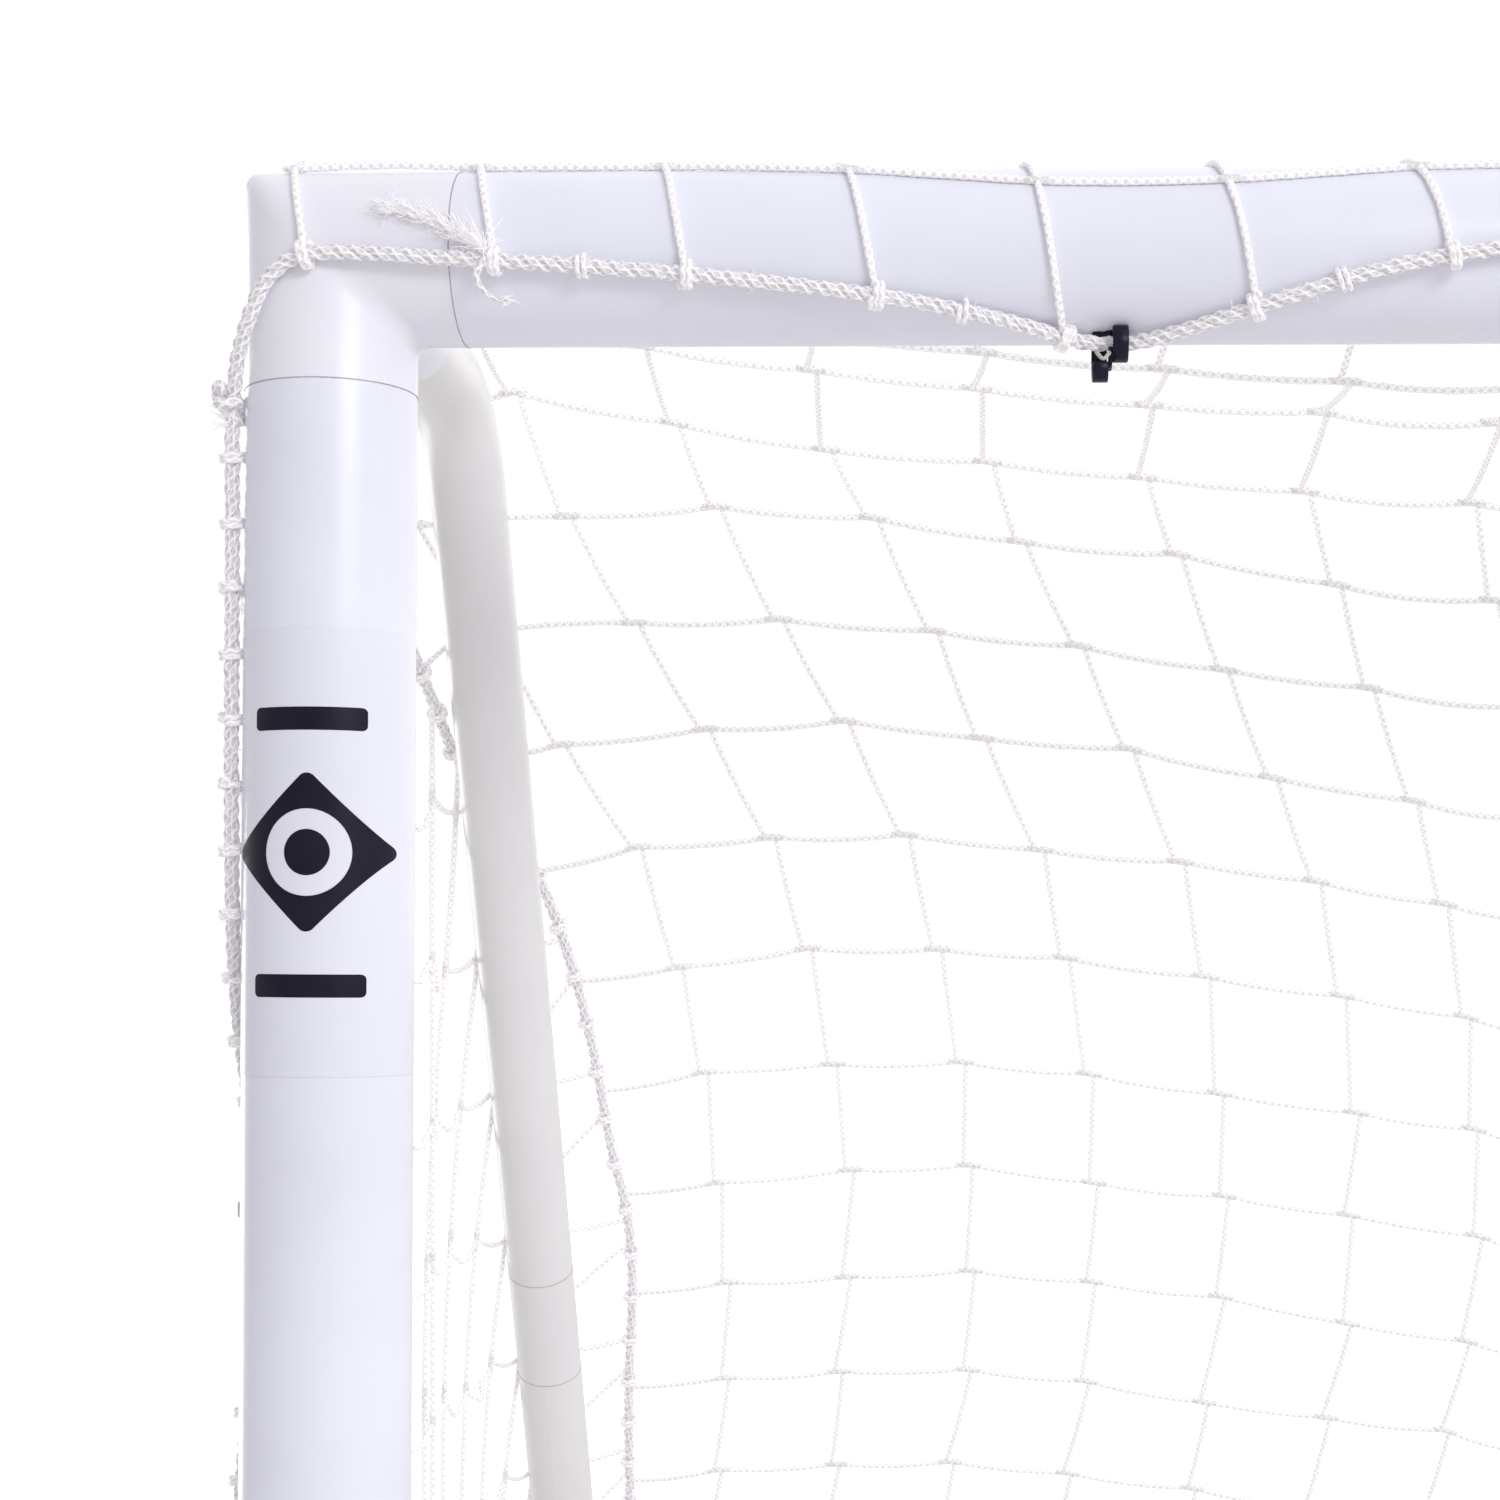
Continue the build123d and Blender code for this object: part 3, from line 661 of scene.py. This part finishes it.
def hang(start, end, slack):
    """Points of a strand between two knots. slack is its spare length, which hangs as a sag."""
    t = np.linspace(0, 1, STRAND_POINTS)[:, None]
    gap = np.linalg.norm(end - start)
    way = (end - start) / gap
    down = np.array((0, 0, -1.0)) + way * way[2]
    return start + (end - start) * t + down * (4 * t * (1 - t) * math.sqrt(slack * gap * 3 / 8))


def draw_strand(bag, points, seed):
    """A slightly uneven strand through the given points, laid over any tube in its way."""
    pick = np.random.default_rng(seed)
    path = resample(points, 0.003)
    path = push_out(path, RODS)
    swell = 1 + 0.06 * pick.standard_normal(len(path))
    tube(bag, to_world(path), TWINE_R * swell, hint=(0.2, 0.4, 0.9))


def draw_joint(bag, knot, along, size):
    """Where strands cross in a knotless net: they run side by side for a short way."""
    t = np.linspace(-1, 1, 7)
    path = knot + unit(along) * (t * 0.0075 * size)[:, None]
    path = push_out(path.copy(), RODS)
    tube(bag, to_world(path), (0.0013 + 0.0008 * np.sqrt(np.maximum(1 - t * t, 0))) * size)


def back_net():
    """The knots, the strands between them and the joints over them. Returns the knots."""
    knots = np.zeros((COLUMNS + 1, ROWS + 1, 3))
    for r in range(ROWS + 1):
        for c in range(-1, 13):
            left = back_knot(c, r)
            knots[c + 1, r] = left
            knots[25 - c, r] = mirrored(left)
    inner = np.zeros_like(knots)
    inner[1:-1, 2:-1] = rng.normal(0, KNOT_WANDER, (COLUMNS - 1, ROWS - 2, 3))
    knots = push_out(knots + inner, RODS)
    bands = [MeshBag() for _ in range(BANDS)]
    strands = []

    def step_aside(c, r):
        """A strand leaves its joint a little further along the row than it came in."""
        return unit(knots[c + 1, r] - knots[c - 1, r]) * SIDE_STEP * (1 < r < ROWS)

    for r in range(ROWS):
        for c in range(COLUMNS + 1):
            if 0 < c < COLUMNS:
                start, end = knots[c, r] + step_aside(c, r), knots[c, r + 1] - step_aside(c, r + 1)
                strands.append((r, start, end, 0.0002, r in (0, 1)))
            if r > 0 and c < COLUMNS:
                over = c in (0, 1, COLUMNS - 2, COLUMNS - 1) and r < 8
                slack = np.interp(min(c, COLUMNS - 1 - c), (6, 12), (0.00005, 0.0018)) * (r > 2)
                strands.append((r, knots[c, r], knots[c + 1, r], slack + rng.uniform(0, 0.00012), over))
    paths = np.array([hang(a, b, slack) for _, a, b, slack, _ in strands])
    lift = np.sin(np.linspace(0, math.pi, STRAND_POINTS))[:, None] * (0, 0.012, 0.04)
    lifted = np.array([strand[-1] for strand in strands])
    paths[lifted] += lift
    paths[lifted] = tighten(push_out(paths[lifted], RODS), RODS)
    for i, strand in enumerate(strands):
        draw_strand(bands[strand[0] * BANDS // ROWS], paths[i], 1000 + i)
    for r in range(1, ROWS):
        for c in range(1, COLUMNS):
            along = knots[c + 1, r] - knots[c - 1, r]
            draw_joint(bands[r * BANDS // ROWS], knots[c, r], along, 0.75 if r == 1 else 0.95)
    for number, bag in enumerate(bands):
        piece = bag.build("back_net_band_" + str(number + 1), twine_look, slot="netting")
        if number == 0:
            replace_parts(piece, "back_net")
    return knots


back_knots = back_net()


# ---- the side nets ---------------------------------------------------------------
SIDE_GAP = 0.0415
SIDE_ROW = 0.080
SIDE_ROWS = 14
OVER_BEND, OVER_STAY = -0.0365, -0.0245      # where a strand passes the bend, and the straight stay


def side_strand(y):
    """One upright strand: from the base rope, outside the stay, up to the seam rope."""
    top = SEAM[np.abs(SEAM[:, 1] - y).argmin()]
    foot_y = min(y, DEPTH - 0.01)
    foot = BASE_ROPE[nearest(BASE_ROPE, (-0.026, foot_y, BASE))]
    outside = OVER_BEND if y < 0.3 else OVER_STAY
    points = [foot, (outside, y, BASE + 0.12)]
    if y > 0.33:
        axis_z = (RIDGE - y) / SLOPE
        points += [(outside, y, axis_z - 0.03), (-0.016, y + 0.002, axis_z + 0.036), top]
    else:
        points += [(outside, y, (BASE + top[2]) / 2), top]
    path = resample(np.array(points), 0.02)
    return tighten(path[None], RODS, 25)[0]


def side_net(side):
    """The upright strands of one side, and the level ones between them."""
    bag = MeshBag()
    face = mirrored if side == "right" else as_it_is
    count = int((SEAM[-1, 1] - 0.03) / SIDE_GAP)
    front = BORDER[: len(BORDER) // 3]
    front = front[(front[:, 2] < -0.03) & (front[:, 0] < 0)]
    lines = [front[np.argsort(front[:, 2])]]
    lines += [side_strand(0.058 + SIDE_GAP * k + float(rng.normal(0, 0.0015))) for k in range(count)]
    knots = []
    for number, line in enumerate(lines):
        if number:
            draw_strand(bag, face(line), 5000 + number + (side == "right") * 100)
        here = {}
        upward = line[np.argsort(line[:, 2])]
        for row in range(1, SIDE_ROWS + 1):
            z = BASE + SIDE_ROW * row - 0.012 * ((number * 7 + row * 3) % 5 - 2) / 4
            if upward[0, 2] < z < upward[-1, 2] - 0.012:
                here[row] = point_at(upward, upward[:, 2], z)
        knots.append(here)
    for number, (here, after) in enumerate(zip(knots, knots[1:])):
        for row in here:
            end = after.get(row)
            if end is None:
                if row - 1 not in after:
                    continue
                end = SEAM[nearest(SEAM, here[row] + (0, SIDE_GAP, 0.01))]
            strand = hang(here[row], end, 0.012)
            strand[1:-1, 0] += rng.normal(0, 0.0012, STRAND_POINTS - 2)
            if max(end[0], here[row][0]) > -0.024:
                strand = tighten(strand[None], RODS, 30)[0]
            draw_strand(bag, face(strand), 6000 + number * 20 + row)
            if number:
                draw_joint(bag, face(here[row][None])[0], np.array((0, 0.3, 1.0)), 0.9)
    piece = bag.build("side_net_strands_" + side, twine_look, slot="netting")
    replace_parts(piece, "side_net_" + side)


side_net("left")
side_net("right")


# ---- twine round the ropes, the corner knot and its frayed end --------------------
def coil(bag, path, at, turns, radius, wire, advance, seed):
    """Twine wound round a rope, about its point number at."""
    pick = np.random.default_rng(seed)
    count = int(turns * 14)
    half = max(int(turns * advance / ROPE_STEP / 2), 1)
    low, high = max(at - half, 0), min(at + half, len(path) - 1)
    core = resample(path[low:high + 1], 0.001) if high - low > 2 else path[low:high + 1]
    _, side, up = frames_along(core)
    t = np.linspace(0, 1, count)
    index = t * (len(core) - 1)
    base = point_at(core, np.arange(len(core)), index)
    near = np.round(index).astype(int)
    a = 2 * math.pi * turns * t + pick.uniform(0, 6)
    points = base + side[near] * (np.cos(a) * radius)[:, None] + up[near] * (np.sin(a) * radius)[:, None]
    points = push_out(points, kept_off(LEFT_CORNER, wire * 0.8))
    tube(bag, to_world(points), wire)


def lashings():
    """Twine wound round the ropes: at every strand on the crossbar, and all along the other ropes."""
    bag = MeshBag()
    for number, knot in enumerate(back_knots[1:-1, 0]):
        at = nearest(BORDER, knot)
        coil(bag, BORDER, at, 2.2, ROPE_R + 0.0014, 0.0014, 0.0036, number)
        if number % 2:
            coil(bag, BORDER, at + 17, 1.6, ROPE_R + 0.0009, 0.001, 0.003, number + 50)
    for number in range(40):
        for path in (SEAM, mirrored(SEAM)):
            coil(bag, path, 14 + number * 16, 1.7, ROPE_R + 0.0012, 0.0013, 0.0036, number + 100)
    for number in range(38):
        for at in (38 + number * 13, len(BORDER) - 38 - number * 13):
            coil(bag, BORDER, at, 1.8, ROPE_R + 0.0011, 0.0012, 0.0036, number + 400)
    for number in range(90):
        coil(bag, BASE_ROPE, 20 + number * 19, 1.6, ROPE_R + 0.0012, 0.0013, 0.0036, number + 200)
    bag.build("lashing_twine", twine_look, slot="netting")


def overhand(bag, centre, size, wire, tilt, seed):
    """A tight overhand knot: a trefoil squeezed together."""
    pick = np.random.default_rng(seed)
    t = np.linspace(0, 2 * math.pi * 0.97, 60)
    points = np.stack([np.sin(t) + 2 * np.sin(2 * t), np.cos(t) - 2 * np.cos(2 * t), -np.sin(3 * t)], axis=1)
    spin = Matrix.Rotation(tilt, 3, "Y") @ Matrix.Rotation(pick.uniform(0, 3), 3, "Z")
    points = points @ np.array(spin).T * (size / 3, size / 3, size / 2.2)
    tube(bag, to_world(points + centre), wire)


def fibres(bag, root, way, count, length, spread, seed):
    """Loose fibres that leave a root point, curl and taper."""
    pick = np.random.default_rng(seed)
    for _ in range(count):
        reach = length * pick.uniform(0.45, 1.0)
        heading = unit(np.array(way) + pick.normal(0, spread, 3))
        bend = pick.normal(0, 0.35, 3) * reach
        t = np.linspace(0, 1, 9)[:, None]
        points = root + pick.normal(0, 0.0009, 3) + heading * reach * t + bend * t * t
        points = push_out(points, kept_off(LEFT_CORNER, 0.0003))
        tube(bag, to_world(points), np.linspace(0.00034, 0.00012, 9), sides=4)


def plume(bag, spine, count, seed):
    """A soft tuft: short curly fibres rooted all along a bent spine."""
    pick = np.random.default_rng(seed)
    length = arc_length(spine)
    t = np.linspace(0, 1, 10)[:, None]
    for _ in range(count):
        at = pick.uniform(0, 1) * length[-1]
        root = point_at(spine, length, at)
        way = point_at(spine, length, at + 0.004) - point_at(spine, length, at - 0.004)
        heading = unit(unit(way) + pick.normal(0, 0.42, 3))
        reach = pick.uniform(0.004, 0.011)
        phase, laps = pick.uniform(0, 6), pick.uniform(0.8, 2.2)
        curl = np.hstack([np.sin(2 * math.pi * laps * t + phase + k) for k in (0, 1.6, 3.2)])
        points = root + pick.normal(0, 0.0007, 3) + heading * reach * t + curl * t * 0.0011
        points = push_out(points, kept_off(CROSSBAR, 0.0003))
        tube(bag, to_world(points), np.linspace(0.00022, 0.0001, 10), sides=4)


# The tail: mm from the point where it leaves the rope. The tuft's spine: mm from the post's axis, and
# the angle of on_bar.
TAIL = ((0, -3, 0), (-3, -4, -3), (-4.5, -4, -7), (-3, -3.5, -11), (0, -3, -14), (3.5, -2.5, -16),
        (7, -2.5, -16))
TUFT = ((71, -14), (61, -2), (50, 9), (39, 16), (30, 19))
TAIL_X = 0.071


def corner_details():
    """The knot at each top corner, and the short tail and the tuft of fibres on the left of the crossbar."""
    bag = MeshBag()
    for face in BOTH_SIDES:
        overhand(bag, face(mm(-37.5, -14, -60)), 0.0072, 0.0021, 0.6, 3)
    loose = MeshBag()
    root = BORDER[np.abs(BORDER[:, 0] - TAIL_X).argmin()]
    tail = push_out(resample(root + mm(*TAIL), 0.0012), kept_off(CROSSBAR, 0.0020))
    knobs = 1 + 0.16 * np.sin(np.arange(len(tail)) * 1.7)
    tube(bag, to_world(tail), np.linspace(0.0019, 0.0007, len(tail)) * knobs)
    bag.build("corner_knots", rope_look, slot="rope")
    fibres(loose, tail[-1], (0.9, -0.2, 0.1), 10, 0.005, 0.4, 24)
    u, angle = np.array(TUFT).T
    plume(loose, resample(on_bar(u / 1000, angle, MOUTH_R + 0.0018), 0.002), 420, 31)
    fibres(loose, root + mm(-2, -3, 3), (-0.3, -0.3, 0.8), 30, 0.013, 0.5, 22)
    low = BORDER[nearest(BORDER, mm(-36, -12, -66))]
    fibres(loose, low, (-0.8, -0.3, 0.2), 24, 0.010, 0.5, 23)
    for k in range(60):
        spot = BORDER[int(rng.integers(200, len(BORDER) - 200))]
        fibres(loose, spot, rng.normal(0, 1, 3), 3, 0.007, 0.7, 300 + k)
    loose.build("loose_fibres", fibre_look, slot="rope")


lashings()
corner_details()


# ---- net clips: two hooks that face each other over the rope, and a plug in the tube --
def hook_strip(bag, seat, outline, low, high, half=0.00095):
    """A strip along an outline, from low to high along the tube, with half its thickness given."""
    step, bevel = 0.0009, 0.0004
    origin, tangent, outward, along = seat
    line = resample(np.c_[mm(*outline), np.zeros(len(outline))], step)[:, :2]
    way = unit(np.gradient(line, axis=0))
    normal = np.c_[-way[:, 1], way[:, 0]]
    low, high = low / 1000, high / 1000
    section = [(low + bevel, half), (low, half - bevel), (low, bevel - half), (low + bevel, -half),
               (high - bevel, -half), (high, bevel - half), (high, half - bevel), (high - bevel, half)]
    points = [origin + tangent * p[0] + outward * p[1] + along * a
              for spot, n in zip(line, normal) for a, off in section for p in [spot + n * off]]
    faces, at_ring, turn = tube_grid(len(line), len(section))
    bag.add(np.array(points), faces, np.stack([turn, at_ring * step], axis=-1).reshape(-1, 2))


# Outlines in mm: across the tube, and out from its surface.
NEAR_HOOK = ((1.5, 1.0), (6.3, 0.9), (7.4, 3.6), (7.0, 7.4), (4.4, 10.4), (0.6, 11.4), (-2.6, 10.2))
FAR_HOOK = ((-6.3, 0.6), (-8.2, 5.0), (-8.0, 11.4), (-5.2, 17.2), (-0.4, 19.0), (3.2, 17.0), (3.6, 14.6))
LINK = ((-6.4, 12.0), (-1.5, 12.4), (2.2, 10.8), (5.0, 8.6))
BASE_PLATE = ((-6.6, 0.7), (-3.4, 1.1), (0, 1.25), (2.2, 1.2))


def net_clips(name, node, axis_points, outward, along, radius):
    """A clip on a tube of the given radius for each of these points of its axis."""
    bag = MeshBag()
    outward, along = np.array(outward, float), np.array(along, float)
    tangent = np.cross(along, outward)
    for spot in axis_points:
        seat = (np.array(spot) + outward * radius, tangent, outward, along)
        hook_strip(bag, seat, NEAR_HOOK, -7.0, -0.8)
        hook_strip(bag, seat, FAR_HOOK, 0.8, 7.0)
        hook_strip(bag, seat, LINK, -0.9, 0.9, 0.0007)
        hook_strip(bag, seat, BASE_PLATE, -7.0, 7.0, 0.0009)
        stem = seat[0] + outward * mm(1.0, -4.5, -5.0, -6.2, -7.5)[:, None]
        tube(bag, stem, mm(2.6, 2.6, 3.2, 2.9, 1.9), sides=12)
    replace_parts(bag.build(name, clip_black, slot="clip_plastic"), node)


def all_clips():
    a = math.radians(CLIP_ANGLE)
    top = [(x - POST_X, FRONT_Y, BAR_Z) for x in CLIPS]
    net_clips("bar_net_clips", "crossbar_clips", top, (0, -math.cos(a), math.sin(a)), (-1, 0, 0), MOUTH_R)
    back = [(x - POST_X, BACK_Y, BASE_Z) for x in CLIPS]
    net_clips("back_net_clips", "back_bar_clips", back, (0, 1, 0), (1, 0, 0), STAY_R)
    a = math.radians(POST_CLIP_ANGLE)
    for name, side in (("left", -1), ("right", 1)):
        posts = [(side * POST_X, FRONT_Y, BAR_Z + z) for z in POST_CLIPS]
        out = (side * math.cos(a), -math.sin(a), 0)
        net_clips("post_net_clips_" + name, "post_clips_" + name, posts, out, (0, 0, side), MOUTH_R)
        bases = [(side * POST_X, FRONT_Y + DEPTH * part, BASE_Z) for part in BASE_CLIPS]
        net_clips("side_net_clips_" + name, "side_clips_" + name, bases, (side, 0, 0), (0, side, 0), STAY_R)


all_clips()


# ---- clip links, painted seam shadows, and copies of the springs ---------------
def clip_links():
    """The bent link over the rope in each of the crossbar's clips."""
    bag = MeshBag()
    a = math.radians(CLIP_ANGLE)
    out, tangent = np.array((0, -math.cos(a), math.sin(a))), np.array((0, math.sin(a), math.cos(a)))
    for x in CLIPS:
        points = [(x - u / 1000, 0, 0) + out * (MOUTH_R + o / 1000) + tangent * (t / 1000)
                  for u, t, o in ((5.6, 3.9, 10.0), (2.9, 4.6, 13.4), (0.2, 3.9, 10.2))]
        tube(bag, to_world(resample(np.array(points), 0.0008)), 0.0008)
    bag.build("clip_links", link_grey, slot="clip_plastic")


def seam_lines():
    """Thin dark rings at each end of a fitting: painted shadow of the gap there."""
    bag = MeshBag()
    turn = np.linspace(0, 2 * math.pi, 65)
    slant = unit(np.array((0, SLOPE, -1.0)))
    coupler = STAY_COUPLER_TOP - BAR_Z
    stay = np.array((0, RIDGE - coupler * SLOPE, coupler))
    rings = [((CORNER_LEG, 0, 0), (1, 0, 0), MOUTH_R), ((0, 0, -CORNER_LEG), (0, 0, 1), MOUTH_R),
             ((SPAN / 2 - 0.002, 0, 0), (1, 0, 0), MOUTH_R), ((0, 0, FOOT_LEG - BAR_Z), (0, 0, 1), MOUTH_R),
             (stay, slant, STAY_R), (stay + slant * STAY_COUPLER, slant, STAY_R)]
    for centre, axis, radius in rings:
        one = unit(np.cross(axis, (0.3, 0.9, 0.2)))
        two = np.cross(axis, one)
        loop = centre + (np.cos(turn)[:, None] * one + np.sin(turn)[:, None] * two) * (radius - 0.00008)
        for face in BOTH_SIDES:
            tube(bag, to_world(face(loop)), 0.0003, sides=6)
    bag.build("seam_lines", painted_seam_shadow, slot="mouth_tube")


def bending_springs():
    """A copy of each leaf spring, as it is, in place of the CAD's spring; the copy does not bend with its
    button.
    """
    for node in sorted(nodes):
        if not node.startswith("spring_"):
            continue
        low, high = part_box(node)
        out = 2 if "bar" in node else 1
        start, end = Vector(low), Vector(low)
        start[out] = low[out] + 0.45 * (high[out] - low[out])
        end[out] = high[out] - 0.001
        piece = new_object(node.replace("spring", "leaf"), nodes[node].data.copy())
        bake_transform(piece)
        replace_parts(piece, node)


clip_links()
seam_lines()
bending_springs()


# ---- the elbow, with its mitre softened ---------------------------------------------
ELBOW_SOFTNESS = 0.0055


def soft_elbow(side, sign):
    """A copy of the top corner with its mitre edge rounded off."""
    node = "top_corner_" + side
    mesh = nodes[node].data.copy()
    mesh.name = "elbow_" + side
    work = bmesh.new()
    work.from_mesh(mesh)
    bmesh.ops.remove_doubles(work, verts=work.verts, dist=1e-5)
    bmesh.ops.dissolve_limit(work, angle_limit=math.radians(0.8), verts=work.verts, edges=work.edges)

    def on_mitre(vert):
        x, y, z = sign * vert.co.x - POST_X, vert.co.y - FRONT_Y, vert.co.z - BAR_Z
        return abs(x - z) < 5e-5 and abs(math.hypot(y, z) - MOUTH_R) < 4e-4 and y < 0.014

    crease = [edge for edge in work.edges if all(on_mitre(vert) for vert in edge.verts)]
    bmesh.ops.bevel(work, geom=crease, offset=ELBOW_SOFTNESS, segments=5, profile=0.5, affect="EDGES",
                    clamp_overlap=True)
    for face in work.faces:
        face.smooth = True
    for edge in work.edges:
        edge.smooth = len(edge.link_faces) == 2 and edge.calc_face_angle(0) < math.radians(32)
    work.to_mesh(mesh)
    work.free()
    piece = new_object("elbow_" + side, mesh)
    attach(piece, "frame")
    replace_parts(piece, node)


soft_elbow("left", -1)
soft_elbow("right", 1)


# ---- camera, floor and lights -------------------------------------------------
FLOOR_HALF = 60.0
FLOOR_GLOW = 0.60            # seen by the camera only, where the floor runs into the background
ROOM_LIGHT = 0.90
ROOM_SLANT = (0.30, 0.36, 0.10)


def make_camera():
    """A metre in front of the left post, level, and turned a little towards it."""
    camera = bpy.data.cameras.new("camera")
    camera.sensor_width = 36.0
    camera.lens = 60.36
    camera.shift_x = -0.09
    camera.shift_y = 0.133
    camera.clip_start = 0.05
    obj = new_object("camera", camera)
    obj.location = (-POST_X + 0.2654, FRONT_Y - 1.0, BAR_Z - 0.275)
    turn = Matrix.Rotation(math.radians(2.39), 4, "Z")
    roll = Matrix.Rotation(math.radians(-0.35), 4, "Y")
    obj.rotation_euler = (turn @ roll @ Matrix.Rotation(math.radians(90), 4, "X")).to_euler()
    bpy.context.scene.camera = obj


def area_light(name, place, target, size, power, color):
    light = bpy.data.lights.new(name, "AREA")
    light.shape = "RECTANGLE"
    light.size, light.size_y = size
    light.energy = power
    light.color = color
    obj = new_object(name, light)
    obj.visible_camera = False
    obj.location = place
    obj.rotation_euler = (Vector(target) - Vector(place)).to_track_quat("-Z", "Y").to_euler()


def make_stage():
    """A pale floor that turns to the white of the background far away and behind the goal."""
    mesh = bpy.data.meshes.new("floor")
    r = FLOOR_HALF
    mesh.from_pydata([(-r, -r, 0), (r, -r, 0), (r, r, 0), (-r, r, 0)], [], [(0, 1, 2, 3)])
    floor = new_object("floor", mesh)
    material, tree, shader = new_material("floor_look", (0.6, 0.6, 0.6), 0.7)
    shader.inputs["Emission Color"].default_value = (1, 1, 1, 1)
    patch = noise_on(tree, 1.5, 2.0)
    tree.links.new(mix_color(tree, patch.outputs["Fac"], (0.70, 0.69, 0.685), (0.72, 0.71, 0.70)),
                   shader.inputs["Base Color"])
    place = tree.nodes.new("ShaderNodeTexCoord")
    split = tree.nodes.new("ShaderNodeSeparateXYZ")
    tree.links.new(place.outputs["Object"], split.inputs[0])
    reach = add_node(tree, "ShaderNodeVectorMath", operation="LENGTH")
    tree.links.new(place.outputs["Object"], reach.inputs[0])
    bright = add_node(tree, "ShaderNodeMath", operation="MAXIMUM")
    tree.links.new(ramp(tree, split.outputs["Y"], 1.5, 2.6, 0, FLOOR_GLOW), bright.inputs[0])
    tree.links.new(ramp(tree, reach.outputs["Value"], 3.0, 14.0, 0, FLOOR_GLOW), bright.inputs[1])
    seen = tree.nodes.new("ShaderNodeLightPath")
    shown = add_node(tree, "ShaderNodeMath", operation="MULTIPLY")
    tree.links.new(seen.outputs["Is Camera Ray"], shown.inputs[0])
    tree.links.new(bright.outputs[0], shown.inputs[1])
    tree.links.new(shown.outputs[0], shader.inputs["Emission Strength"])
    mesh.materials.append(material)


def make_world():
    """A white room, brighter behind, above and to the right than in front, below and to the left."""
    world = bpy.data.worlds.new("studio")
    bpy.context.scene.world = world
    world.use_nodes = True
    tree = world.node_tree
    room = tree.nodes["Background"]
    room.inputs["Color"].default_value = (0.98, 0.97, 1.0, 1)
    place = tree.nodes.new("ShaderNodeTexCoord")
    slant = add_node(tree, "ShaderNodeVectorMath", operation="DOT_PRODUCT")
    slant.inputs[1].default_value = ROOM_SLANT
    tree.links.new(place.outputs["Generated"], slant.inputs[0])
    tree.links.new(ramp(tree, slant.outputs["Value"], -1, 1, ROOM_LIGHT - 1, ROOM_LIGHT + 1),
                   room.inputs["Strength"])
    backdrop = add_node(tree, "ShaderNodeBackground", Strength=1.02)
    backdrop.inputs["Color"].default_value = (1, 1, 1, 1)
    seen = tree.nodes.new("ShaderNodeLightPath")
    pick = tree.nodes.new("ShaderNodeMixShader")
    tree.links.new(seen.outputs["Is Camera Ray"], pick.inputs["Fac"])
    tree.links.new(room.outputs[0], pick.inputs[1])
    tree.links.new(backdrop.outputs[0], pick.inputs[2])
    tree.links.new(pick.outputs[0], tree.nodes["World Output"].inputs["Surface"])


make_camera()
make_stage()
make_world()
area_light("key", (0.9, -2.7, 2.2), (-0.5, FRONT_Y, 1.1), (1.2, 0.8), 36, (0.95, 0.97, 1.0))
area_light("rim", (-POST_X - 1.6, FRONT_Y + 1.7, 1.0), (-POST_X, FRONT_Y + 0.2, 0.9), (0.8, 1.8), 15,
           (1.0, 0.99, 0.96))
bpy.context.scene.view_settings.view_transform = "Standard"
